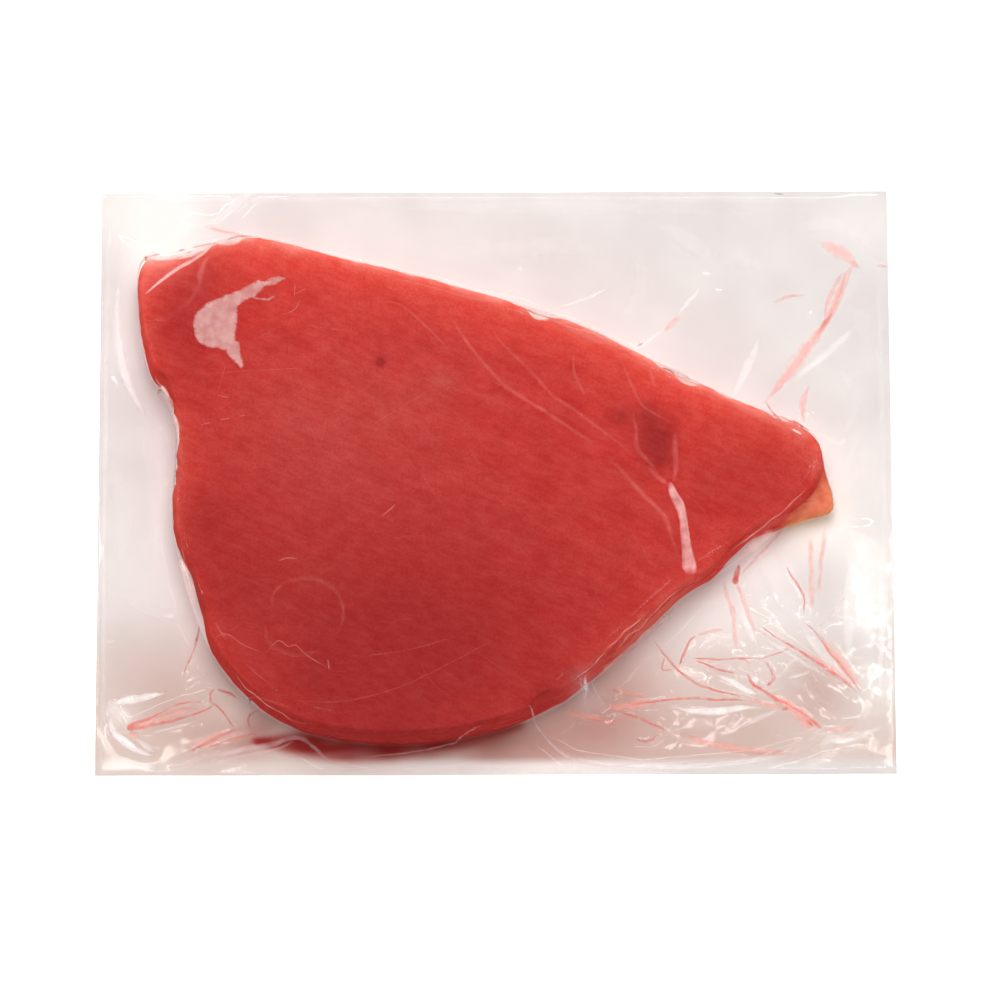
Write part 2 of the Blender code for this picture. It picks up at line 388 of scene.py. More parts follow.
def paint_flesh(piece, lines, stations):
    """Where the flesh is paler with its painted rim glow, frosted with painted light, darker in spots
    and with painted shade, greyer, low down or skin.
    """
    points = np.array([v.co for v in piece.data.vertices])
    around = len(lines[0])
    inset = np.append(np.repeat(stations[:, 0], around), [MIDDLE_INSET, MIDDLE_INSET])
    share = np.append(np.repeat(stations[:, 1], around), [0.0, 1.0])
    facing = np.append(np.tile(outward(lines[0])[:, 1], len(stations)), [0, 0])
    wider = RIM_TIP * eased(points[:, 0], RIM_TIP_START, RIM_TIP_END)
    reach = (RIM_REACH + RIM_BACK * np.clip(facing, -0.6, 1) + wider) * MM
    # Painted light: a paler, brighter rim near the upper edge, strongest on the back edge that faces the
    # back lamp.
    paint(piece, "painted_rim_glow", np.exp(-((inset / reach) ** 1.5)) * (0.6 + 0.4 * facing))
    # Frost with painted light: a paler edge, most on the back edge that faces the back lamp, and at the
    # pale places.
    frost = np.exp(-((inset / FROST_AND_LIGHT_BACK) ** 2)) * np.clip(facing + 0.35, 0, 1)
    frost += sum_of_bumps(points, FROST_AND_LIGHT_EDGES) * np.exp(-((inset / FROST_AND_LIGHT_REACH) ** 2))
    paint(piece, "frost", frost * np.clip(0.75 + 0.9 * ripple(points, 5, 17), 0, 1))
    paint(piece, "under", 1 - eased(share, 0.0, 0.5))
    # Dark: darker spots of the flesh, and painted shade towards the front and the left.
    paint(piece, "dark", sum_of_bumps(points, DARK_SPOTS_AND_SHADE))
    paint(piece, "grey", sum_of_bumps(points, GREY_PLACES))
    skin = np.clip(sum_of_bumps(points, SKIN_PLACES), 0, 1)
    paint(piece, "skin", skin * (1 - eased(share, *SKIN_TOP)))


def make_flesh(lines, stations):
    """The whole steak as one closed mesh."""
    piece = mesh_from_rings("tuna_flesh", shaped_flesh(steak_rings(lines, stations), stations))
    paint_flesh(piece, lines, stations)
    return piece


# --- the film ---------------------------------------------------------------------------------

FILM_GAP = 0.25 * MM
FILM_LOWEST = 0.04 * MM
# The film lies on every second station of the flesh, down to this share of the thickness.
PRESSED_LOWEST = 0.30
# From there a skirt runs down to the sheet: its height, and how soon it has fallen.
SKIRT_RISE = 3.2 * MM
SKIRT_FALL = 1.8 * MM
SKIRT_UNEVENNESS = 0.5
# The last of the way to the edge, where welding has pinched the gap by this share.
WELD_START = 0.96
WELD_PINCH = 0.6
UPPER_RIM_STATIONS = 70
LOWER_RIM_STATIONS = 24
RIM_SPREAD = 1.2
UNDER_INSETS = (2, 10, 22, 36)

# The joined films rise this much from the table, unevenly, once they are away from the steak.
SHEET_RISE = 0.7
SHEET_AWAY = 14 * MM
LOWER_SHEET_AWAY = 8 * MM
SHEET_LUMPS = [(0.22, 15, 4), (0.06, 5, 5)]
CRUMPLE_RISE = 0.35 * MM
SEAL_RISE = 0.10 * MM

# Soft folds of the rim, both films together: (height, half width, path). The sharp ones, with or
# without juice in them, are listed as threads, and SHARP_FOLD is their height.
SOFT_FOLDS = [
    (0.35, 3, [(36, 67), (44, 62), (52, 57), (55, 52)]),
    (0.12, 2.8, [(56, 52), (59, 57), (65, 57), (70, 52)]),
    (0.12, 3, [(-55, 70), (-20, 72), (20, 71), (52, 70), (60, 66)]),
    (0.7, 1.8, [(-60, 76), (-66, 70), (-70, 66.5), (-80, 66)]),
    (0.45, 2, [(-95, 52), (-96.5, 42), (-95.5, 28), (-89, 17)]),
    (0.3, 1.4, [(-90, 43), (-89, 34), (-86.5, 26)]),
    (0.7, 2.6, [(62, -30), (70, -41), (82, -52), (92, -60)]),
    (0.7, 2.4, [(44, -48), (56, -54), (70, -58), (84, -66)]),
    (0.7, 1.6, [(8, -60), (12, -66), (19, -71), (36, -73.5), (65, -71), (80, -66), (98, -63)]),
    (0.7, 2.4, [(-92, -64), (-84, -60), (-74, -57), (-66, -54)]),
    (1.2, 1.6, [(-78, -71), (-63, -68), (-53, -66), (-49, -66), (-45, -69), (-40, -73)]),
    (0.7, 1.6, [(-97, -56), (-93, -62), (-85, -70)]),
    (0.4, 2.2, [(92, -10), (96, -22), (94, -36)]),
]
SHARP_FOLD = 0.3 * MM
# Where the film is crumpled into small facets: (place, radius, amount).
CRUMPLED_PLACES = [
    ((64, -49), 7, 0.9), ((44, -57), 8, 0.5), ((24, -56), 5, 0.9), ((74, -40), 10, 0.5),
    ((62, -30), 6, 0.5), ((90, -40), 8, 0.3), ((84, -62), 8, 0.4), ((-68, -58), 8, 0.4),
    ((-84, 56), 7, 0.2), ((-72, 62), 7, 0.3), ((78, 14), 5, 0.5), ((86, 26), 8, 0.12),
    ((82, 0), 4, 0.4), ((-82, 17), 4, 0.6),
]
# Ridges that the welding has left.
SEAL_RIDGES = [
    [(-98, 70), (-98.3, 20), (-98, -70)],
    [(93.3, -20), (93.5, -45), (93, -66)],
    [(97.5, 60), (98, -10), (98, -66)],
    [(-90, 73.2), (0, 73.4), (90, 73)],
]

# Where the film is milky, lighter or pink: (place, radius, amount). The milky places are partly
# haze and partly painted sheen; the lighter places are painted light, standing in for reflections
# and lifting shade; the pink places are juice, with painted reddish shade near the steak's edge.
MILKY_AND_SHEEN_PLACES = [
    ((93, -28), 4, 0.5), ((-93, -60), 3, 0.5), ((92, 6), 5, 0.2), ((23, -56), 2.6, 0.5),
    ((84, -66), 3.5, 0.4), ((-84, 57), 5, 0.3),
]
PAINTED_LIGHT_PLACES = [
    ((-92, 70), 9, 0.8), ((-80, 70), 6, 0.7), ((-84, 60), 6, 0.5), ((54, -36), 7, 0.7),
    ((-86, -18), 12, 0.25), ((-86, -29), 6, 0.3), ((-98, 30), 5, 0.3), ((93.5, -20), 5, 0.9),
    ((93.5, -34), 5, 0.9), ((90, 0), 9, 0.5), ((97, -52), 5, 0.6), ((68, -22), 5, 0.7),
    ((84, -14), 4, 0.6), ((76, -18), 5, 0.5), ((74, -34), 5, 0.4), ((60, -28), 5, 0.3),
    ((88, 66), 5, 0.3), ((98, 66), 5, 0.4),
]
PINK_JUICE_AND_SHADE_PLACES = [
    ((-2, -66.5), 5, 0.8), ((10, -67), 6, 0.5), ((22, -66), 8, 0.36), ((-88, -50), 10, 0.14),
    ((33, -53), 7, 0.3), ((-78, -54), 8, 0.14), ((36, -67), 9, 0.24), ((52, -66), 9, 0.18),
    ((66, -64), 7, 0.18), ((81, -57), 5, 0.28), ((78, -50), 4, 0.2), ((56, -47), 4, 0.15),
    ((25, -60), 6, 0.25), ((-62, -66), 3.5, 0.5), ((-71, -66), 5, 0.3), ((-82, -62), 6, 0.15),
    ((-58, -63), 3, 0.4),
]
# The lower rim is shaded and welded between these distances below the middle.
SHADED_EDGE = (12 * MM, 78 * MM)
WELDED_EDGE = (70 * MM, 73 * MM)
# The weld is whole right of here, and its clear strip fades out this far from its middle.
WELD_WHOLE = (-45 * MM, -10 * MM)
STRIP_MIDDLE = -10 * MM
STRIP_ENDS = (35 * MM, 65 * MM)
# Heights at which the film counts as lying on the steak, and as the upper part of its wall, where
# the film is painted lighter.
ON_STEAK = (5 * MM, 12 * MM)
UPPER_WALL = (5 * MM, 9 * MM)
# Round the steak's foot the film is still pressed, out to these distances.
PRESSED_FOOT = (2.5 * MM, 8 * MM)
# The steak's painted shadow, with the juice under the pouch's lower edge, as one dark tint of the
# film, with half widths.
SHADOW_AND_JUICE = [
    (-62, -66.4, 0.8), (-53, -66.8, 2.2), (-44, -67.4, 3.4), (-36, -67.8, 4.2), (-26, -67.6, 4),
    (-16, -66.6, 3.6), (-8, -64.8, 3.4), (0, -63.2, 2.8), (8, -61.2, 1.6),
]


def pouch_edge(start, centre):
    """Where rays from the centre through the line meet the pouch's edge, with its corners kept."""
    ray = start - centre
    reach = np.where(ray > 0, POUCH_HALF - centre, -POUCH_HALF - centre) / ray
    points = centre + ray * reach.min(axis=1)[:, None]
    for x in (-1, 1):
        for y in (-1, 1):
            corner = POUCH_HALF * (x, y)
            points[np.argmin(np.linalg.norm(points - corner, axis=1))] = corner
    return points


def sheet_height(plan, distance):
    """Height of the joined films above the table, at a distance from the steak's foot."""
    spatial = np.column_stack([plan, np.zeros(len(plan))])
    away = eased(distance, 0.0, SHEET_AWAY)
    height = (SHEET_RISE + SHEET_RISE * ripple(spatial, 42, 3)) * MM * away
    for kind in SHEET_LUMPS:
        height += lumps(spatial, *kind) * away
    ridges = 1 - 2.2 * np.abs(ripple(spatial, 6, 7))
    height += CRUMPLE_RISE * ridges * np.clip(sum_of_bumps(plan, CRUMPLED_PLACES), 0, 1)
    for rise, width, path in SOFT_FOLDS:
        height += rise * MM * path_nearness(plan, path, width)
    for width, path in (*CREASES, *JUICE_THREADS):
        fold = [knot[:2] for knot in path]
        height += SHARP_FOLD * path_nearness(plan, fold, 0.4 + 0.5 * width, 0.1)
    for path in SEAL_RIDGES:
        height += SEAL_RISE * path_nearness(plan, path, 0.6, 0.05)
    return np.maximum(height, 0.0)


def rim_plans(foot, edge, count):
    """Lines from the steak's foot out to the pouch's edge: (share of the way, plan, distance)."""
    span = np.linalg.norm(edge - foot, axis=1)
    for share in np.linspace(0, 1, count)[1:] ** RIM_SPREAD:
        yield share, foot + share * (edge - foot), share * span


def make_film(lines, stations):
    """Both films as one closed skin: over the steak, out to the edge, and back below it."""
    film_stations = stations[::2]
    pressed = steak_rings(lines, film_stations)
    pressed = pressed + FILM_GAP * ring_normals(pressed)
    lowest = int(np.argmax(film_stations[:, 1] >= PRESSED_LOWEST))
    over = pressed[lowest:][::-1]
    foot = over[-1][:, :2]
    edge = pouch_edge(foot, lines[-1].mean(axis=0))
    upper, lower, under = [], [], []
    for share, plan, distance in rim_plans(foot, edge, UPPER_RIM_STATIONS):
        skirt = (SKIRT_RISE + FLESH_LIFT) * np.exp(-distance / SKIRT_FALL)
        skirt *= 1 + SKIRT_UNEVENNESS * ripple(np.column_stack([plan, plan[:, :1]]), 9, 6)
        weld = FILM_GAP * (1 - WELD_PINCH * eased(share, WELD_START, 1.0))
        upper.append(np.column_stack([plan, sheet_height(plan, distance) + weld + skirt]))
    for _, plan, distance in rim_plans(foot, edge, LOWER_RIM_STATIONS):
        sheet = sheet_height(plan, distance) * eased(distance, 0.0, LOWER_SHEET_AWAY)
        lower.append(np.column_stack([plan, np.maximum(sheet, FILM_LOWEST)]))
    for inset in UNDER_INSETS:
        plan = line_at(lines, inset * MM)
        under.append(np.column_stack([plan, np.full(len(plan), FILM_LOWEST)]))
    rings = np.concatenate([over, upper, lower[::-1], under])
    piece = mesh_from_rings("pouch_film", rings[::-1])
    paint_film(piece, foot)
    return piece


def paint_film(piece, foot):
    """Where the film is cloudy, tinted by painted light, shade and shadow, pink with juice, crumpled
    or dull. It is dull where it lies on flesh.
    """
    points = np.array([v.co for v in piece.data.vertices])
    flat = points * (1, 1, 0)
    on_steak = eased(points[:, 2], *ON_STEAK)
    from_foot = np.array([np.min(np.sum((foot - point[:2]) ** 2, axis=1)) for point in points]) ** 0.5
    pressed = np.maximum(on_steak, 1 - eased(from_foot, *PRESSED_FOOT))
    patches = np.clip(3 * ripple(flat, 7, 16), 0, 1)
    welded = eased(-points[:, 1], *WELDED_EDGE) * (0.4 + 0.6 * eased(points[:, 0], *WELD_WHOLE))
    strip = welded * (1 - eased(np.abs(points[:, 0] - STRIP_MIDDLE), *STRIP_ENDS))
    # Milky: partly haze, partly painted sheen at the places, and haze along the seal ridges.
    milky = sum_of_bumps(points, MILKY_AND_SHEEN_PLACES)
    for path in SEAL_RIDGES:
        milky += 0.3 * path_nearness(points, path, 0.7, 0.05)
    paint(piece, "milky", np.clip(milky, 0, 1))
    clouds = ripple(flat, 22, 14) + 0.6 * ripple(flat, 9, 15)
    paint(piece, "clouds", clouds * (1 - on_steak))
    # Painted light: a clearer, lighter tint where reflections brighten the film and its shade is lifted,
    # and along the welded strip.
    clear = sum_of_bumps(points, PAINTED_LIGHT_PLACES) + 0.9 * strip
    paint(piece, "clear", np.clip(clear, 0, 1) * (1 - on_steak))
    # Pink: juice seen through the film, with painted reddish shade and bounced red light near the steak's
    # lower edges.
    pink = np.clip(sum_of_bumps(points, PINK_JUICE_AND_SHADE_PLACES), 0, 1)
    paint(piece, "pink", (pink * (1 - welded) + 0.07 * strip) * (1 - on_steak))
    # Painted shadow: the steak's shadow and the juice below its lower edge, as one dark tint.
    stain = path_nearness(points, SHADOW_AND_JUICE, 2, 0.04, 3) * (0.95 + 0.3 * ripple(flat * (1, 4, 1), 8, 19))
    paint(piece, "stain", np.clip(stain, 0, 1) * (1 - on_steak) * (1 - welded))
    shaded = eased(-points[:, 1], *SHADED_EDGE)
    paint(piece, "shaded", shaded * (1 - on_steak) * (1 - 0.9 * welded))
    paint(piece, "crumpled", np.clip(sum_of_bumps(points, CRUMPLED_PLACES), 0, 1))
    steep = pressed * eased(1 - np.abs([v.normal.z for v in piece.data.vertices]), 0.02, 0.15)
    # Painted light: a lighter tint on the steep film up the steak's side, lifting its shade.
    paint(piece, "painted_light_wall", steep * eased(points[:, 2], *UPPER_WALL))
    paint(piece, "shine", 1 - np.maximum(pressed * (0.96 - 0.2 * patches), steep))


# --- threads: lines of the flesh, folds, gleams and juice --------------------------------------


class Tree:
    """Adds nodes to a node tree. A value that is a socket is linked, and any other is set."""

    def __init__(self, tree):
        self.tree = tree

    def add(self, kind, inputs=None, **settings):
        node = self.tree.nodes.new(kind)
        for name, value in settings.items():
            setattr(node, name, value)
        for key, value in (inputs or {}).items():
            if isinstance(value, bpy.types.NodeSocket):
                self.tree.links.new(value, node.inputs[key])
            else:
                node.inputs[key].default_value = value
        return node

    def out(self, kind, inputs=None, **settings):
        """A new node's first output."""
        return self.add(kind, inputs, **settings).outputs[0]

    def math(self, operation, *values):
        return self.out("ShaderNodeMath", dict(enumerate(values)), operation=operation)

    def vector(self, operation, *values):
        return self.out("ShaderNodeVectorMath", dict(enumerate(values)), operation=operation)

    def stored(self, geometry, name, value):
        """The geometry with the value stored under the name, for a material to read."""
        inputs = {"Geometry": geometry, "Name": name, "Value": value}
        return self.out("GeometryNodeStoreNamedAttribute", inputs, data_type="FLOAT")


# Threads are resampled at this step. Two noises make them lumpy and let them drift.
THREAD_STEP = 0.5 * MM
THREAD_LUMPS = {"Scale": 420.0, "Detail": 2.0}
THREAD_DRIFT = {"Scale": 260.0, "Detail": 1.0}
# Their radius never falls to nothing, so that each end closes cleanly.
THINNEST_END = 0.004


def thread_tree():
    """Geometry nodes that turn smooth curves into flat tapered threads."""
    group = bpy.data.node_groups.new("pressed_thread", "GeometryNodeTree")
    group.interface.new_socket("Geometry", in_out="OUTPUT", socket_type="NodeSocketGeometry")
    group.interface.new_socket("Curves", in_out="INPUT", socket_type="NodeSocketGeometry")
    for name in ("Step", "Flatness", "Taper", "Unevenness", "Wander"):
        group.interface.new_socket(name, in_out="INPUT", socket_type="NodeSocketFloat")
    group.interface.new_socket("Material", in_out="INPUT", socket_type="NodeSocketMaterial")
    tree = Tree(group)
    source = tree.add("NodeGroupInput").outputs
    spacing = {"Curve": source["Curves"], "Length": source["Step"]}
    curve = tree.out("GeometryNodeResampleCurve", spacing, mode="LENGTH")
    drift = tree.add("ShaderNodeTexNoise", THREAD_DRIFT).outputs["Color"]
    drift = tree.vector("MULTIPLY", tree.vector("SUBTRACT", drift, (0.5, 0.5, 0.5)), (1, 1, 0))
    inputs = {0: drift, "Scale": source["Wander"]}
    offset = tree.out("ShaderNodeVectorMath", inputs, operation="SCALE")
    curve = tree.out("GeometryNodeSetPosition", {"Geometry": curve, "Offset": offset})
    curve = tree.out("GeometryNodeSetCurveNormal", {"Curve": curve}, mode="Z_UP")
    place = tree.add("GeometryNodeSplineParameter").outputs["Factor"]
    ends = tree.math("SINE", tree.math("MULTIPLY", place, 3.14159))
    taper = tree.math("POWER", tree.math("MAXIMUM", ends, THINNEST_END), source["Taper"])
    bulges = tree.add("ShaderNodeTexNoise", THREAD_LUMPS).outputs["Fac"]
    swell = tree.math("MULTIPLY_ADD", tree.math("SUBTRACT", bulges, 0.5), source["Unevenness"], 1.0)
    radius = tree.math("MULTIPLY", tree.out("GeometryNodeInputRadius"), taper)
    radius = tree.math("MULTIPLY", radius, swell)
    curve = tree.out("GeometryNodeSetCurveRadius", {"Curve": curve, "Radius": radius})
    curve = tree.stored(curve, "along", ends)
    ring = tree.out("GeometryNodeCurvePrimitiveCircle", {"Resolution": 10, "Radius": 1.0})
    sideways = tree.out("ShaderNodeSeparateXYZ", {0: tree.out("GeometryNodeInputPosition")})
    ring = tree.stored(ring, "across", sideways)
    squash = tree.out("ShaderNodeCombineXYZ", {"X": 1.0, "Y": source["Flatness"], "Z": 1.0})
    ring = tree.out("GeometryNodeTransform", {"Geometry": ring, "Scale": squash})
    sweep = {"Curve": curve, "Profile Curve": ring, "Fill Caps": True}
    mesh = tree.add("GeometryNodeCurveToMesh", sweep)
    if "Scale" in mesh.inputs:
        group.links.new(tree.out("GeometryNodeInputRadius"), mesh.inputs["Scale"])
    smooth = tree.out("GeometryNodeSetShadeSmooth", {"Geometry": mesh.outputs[0]})
    real = tree.out("GeometryNodeRealizeInstances", {"Geometry": smooth})
    done = tree.out("GeometryNodeSetMaterial", {"Geometry": real, "Material": source["Material"]})
    tree.add("NodeGroupOutput", {"Geometry": done})
    return group


# Threads' paths: points for each knot, then one point for each of these lengths.
PATH_KNOT_POINTS = 8
PATH_STEP = 0.6 * MM
# The search for the surface below starts at this height.
HIGH_ABOVE = 0.1


def height_below(surface, x, y):
    """Height of the surface's topmost face at a place, or 0 where there is none."""
    hit = surface.ray_cast(Vector((x, y, HIGH_ABOVE)), Vector((0, 0, -1)))[0]
    return hit.z if hit else 0.0


def make_threads(name, group, surface, paths, lift, material, **shape):
    """One mesh of threads along the paths, laid on a surface and lifted a little. A path is
    (width, points), and a point with a third number has its own width."""
    data = bpy.data.curves.new(name, "CURVE")
    data.dimensions = "3D"
    for width, path in paths:
        knots = np.array([(*knot, width)[:3] for knot in path]) * MM
        smooth = open_spline(knots, PATH_KNOT_POINTS)
        length = np.linalg.norm(np.diff(smooth[:, :2], axis=0), axis=1).sum()
        line = respaced(smooth, max(6, int(length / PATH_STEP)), closed=False)
        points = [(x, y, height_below(surface, x, y) + lift, 1.0) for x, y, _ in line]
        spline = data.splines.new("POLY")
        spline.points.add(len(points) - 1)
        spline.points.foreach_set("co", np.ravel(points))
        spline.points.foreach_set("radius", line[:, 2] / 2)
    guide = add_piece(name + "_paths", data)
    modifier = guide.modifiers.new("threads", "NODES")
    modifier.node_group = group
    values = {"Step": THREAD_STEP, "Material": material, **shape}
    for item in group.interface.items_tree:
        if item.in_out == "INPUT" and item.name in values:
            modifier[item.identifier] = values[item.name]
    view = bpy.context.evaluated_depsgraph_get()
    mesh = bpy.data.meshes.new_from_object(guide.evaluated_get(view))
    bpy.data.objects.remove(guide)
    mesh.name = name
    mesh.shade_smooth()
    return add_piece(name, mesh)


# On the flesh: the pale lines between the flakes, the streaks of fat, and fainter marks.
SEPTA = [
    (2, [(44.7, 8.5), (44.8, 3), (44.9, -1), (44.2, -5.2)]),
    (1.7, [(37.6, -0.6), (40, -3.2), (43, -5.4)]),
    (1.2, [(-1.5, 38), (0.5, 32.5), (8.5, 24), (15, 16.8), (20, 13.4), (25, 9.6), (30, 5.8), (35, 1.4)]),
    (1.4, [(-12.5, 41), (-8, 32.5), (-3.5, 26.5), (3, 19.5), (12, 13.5), (20, 8.2), (24, 5.2),
        (28, 1.6)]),
    (1.7, [(27, 2.4, 1.2), (31, -1.4), (33.6, -4.5), (36, -7.2), (40, -11.2), (42, -13.4), (43.2, -17),
        (44.6, -21.4), (46, -25.5, 1.2)]),
    (0.9, [(-30.5, 41.5), (-24.5, 41), (-18, 36), (-11, 28.5)]),
    (1, [(19.5, 28.5), (20, 22.5), (23, 16.5)]),
    (1, [(31, 27.5), (34, 20), (37, 14.5), (44, 10.5)]),
    (1.2, [(38.5, 24.5), (40, 19)]),
    (1.4, [(33.8, 13), (35.1, 9), (35.3, 4), (37.8, 0.8), (41, -3)]),
    (2.6, [(12.6, 37.6), (17, 35.4), (21, 33.4), (26, 31.2), (31, 29.2)]),
    (2, [(50, 20.4), (58, 16.6), (66, 12.6), (72, 9.6)]),
]
FAT_STREAKS = [
    (2, [(43.2, -4.6, 1.6), (44.2, -7.6, 2.8), (45.7, -10.6, 3), (46.6, -14.2, 2.5), (47, -18, 2.6),
        (47.4, -22, 3.3), (47.8, -25, 4.8), (48, -28, 5.6)]),
    (1.2, [(-87.6, 44, 0.8), (-84, 47.2, 1.4), (-79, 50.8, 1.8), (-75, 53, 1.8), (-72, 55.2, 2),
        (-70.4, 57, 1.4)]),
]
FAINT_LINES = [
    (0.3, [(-51.5, -59.5), (-36.5, -59.5), (-23.5, -56), (-10, -49.5), (1, -43.5)]),
    (0.26, [(-33, -48.5), (-20, -46.5), (-10, -43.5)]),
    (0.3, [(-41.5, 13.5), (-42.5, 9), (-43.5, 4)]),
    (0.26, [(-30.5, 10), (-24, 14), (-17, 18.5)]),
    (0.24, [(-67, 26), (-68, 22), (-69, 18.5)]),
    (0.3, [(-50, 36), (-44, 35), (-37, 34)]),
    (0.24, [(-73, 23), (-60, 24), (-45, 24.5)]),
]
SMUDGES = [
    (1.3, [(-56, -38), (-54, -31.5), (-47, -28.7), (-40, -31.5), (-37.5, -38), (-40, -44.5)]),
    (1.4, [(-57, -40), (-56, -45), (-50, -48), (-43, -47)]),
    (2, [(-88.5, 46, 1.4), (-85, 51, 3), (-79, 54.4, 2.6), (-74, 56, 1.4)]),
    (1.4, [(-62, -56.5), (-55, -59.5), (-48, -61.5)]),
]
SCRATCHES = [
    (0.26, [(-70.5, -44.5), (-66.5, -42.8), (-62, -45.6), (-56.5, -48)]),
    (0.26, [(-57, -48), (-53.5, -44.4), (-51, -46), (-49.5, -45.5), (-46, -48.5), (-41, -51.5)]),
    (0.55, [(-41.5, -49), (-41, -51.8)]), (0.45, [(-73.5, 10), (-70.5, 10.8)]),
    (0.45, [(-68.5, 11.3), (-66, 11.8)]), (0.4, [(-64, 12.2), (-62, 12.5)]),
    (0.34, [(-69, 17.5), (-66, 17)]), (0.4, [(-54, -24.5), (-51, -23.6), (-49, -24)]),
    (0.4, [(-28.5, -13.5), (-26, -11.5), (-24.5, -10)]), (0.35, [(-50, 46.5), (-50, 42.5)]),
    (0.34, [(-50, 43.5), (-47, 45)]), (0.22, [(-48.5, 42.5), (-50, 39.5), (-53.5, 38)]),
]

# In the rim: pinched folds without juice, folds that juice has filled, and paler juice beside them.
CREASES = [
    (1.4, [(-82, -73.2), (-72, -70.6), (-65, -69.1), (-55, -67), (-50, -65.8), (-47.5, -66.6),
        (-44, -69.6), (-41, -72)]),
    (1, [(-76, -73), (-70, -71.7), (-62, -70), (-54, -68.3), (-50.4, -66.5)]),
    (0.6, [(-33, -70.6), (-24, -69.8), (-16, -68.6), (-9, -67), (-3, -65.2)]),
    (0.7, [(8, -60), (11.5, -64.5), (15, -68.5), (19, -71.4), (24, -72.8), (36, -73.2)]),
    (0.6, [(36, -73.4), (50, -73), (65, -71.5), (76, -69.5), (81, -67)]),
    (0.8, [(64.5, -38), (69, -41), (75, -44.3), (80.5, -48.3), (88.5, -54.3)]),
    (0.6, [(51, -42.5), (54, -40.7), (60, -40)]),
    (0.8, [(62, -46.5), (65, -49), (66, -52), (69, -53.5)]),
    (0.8, [(63, -48), (67.5, -47), (70, -50), (68, -54)]),
    (0.6, [(88, -30), (84.5, -34), (81, -38)]),
    (1, [(-97, -60), (-96, -64), (-92, -67.5), (-88, -69.5), (-85, -70)]),
    (0.6, [(20, -53), (22.5, -56), (21.5, -58.5)]),
    (0.6, [(24, -52.5), (25.5, -55), (27.5, -58)]),
    (0.5, [(-78, -53), (-75, -51), (-72, -49)]),
]
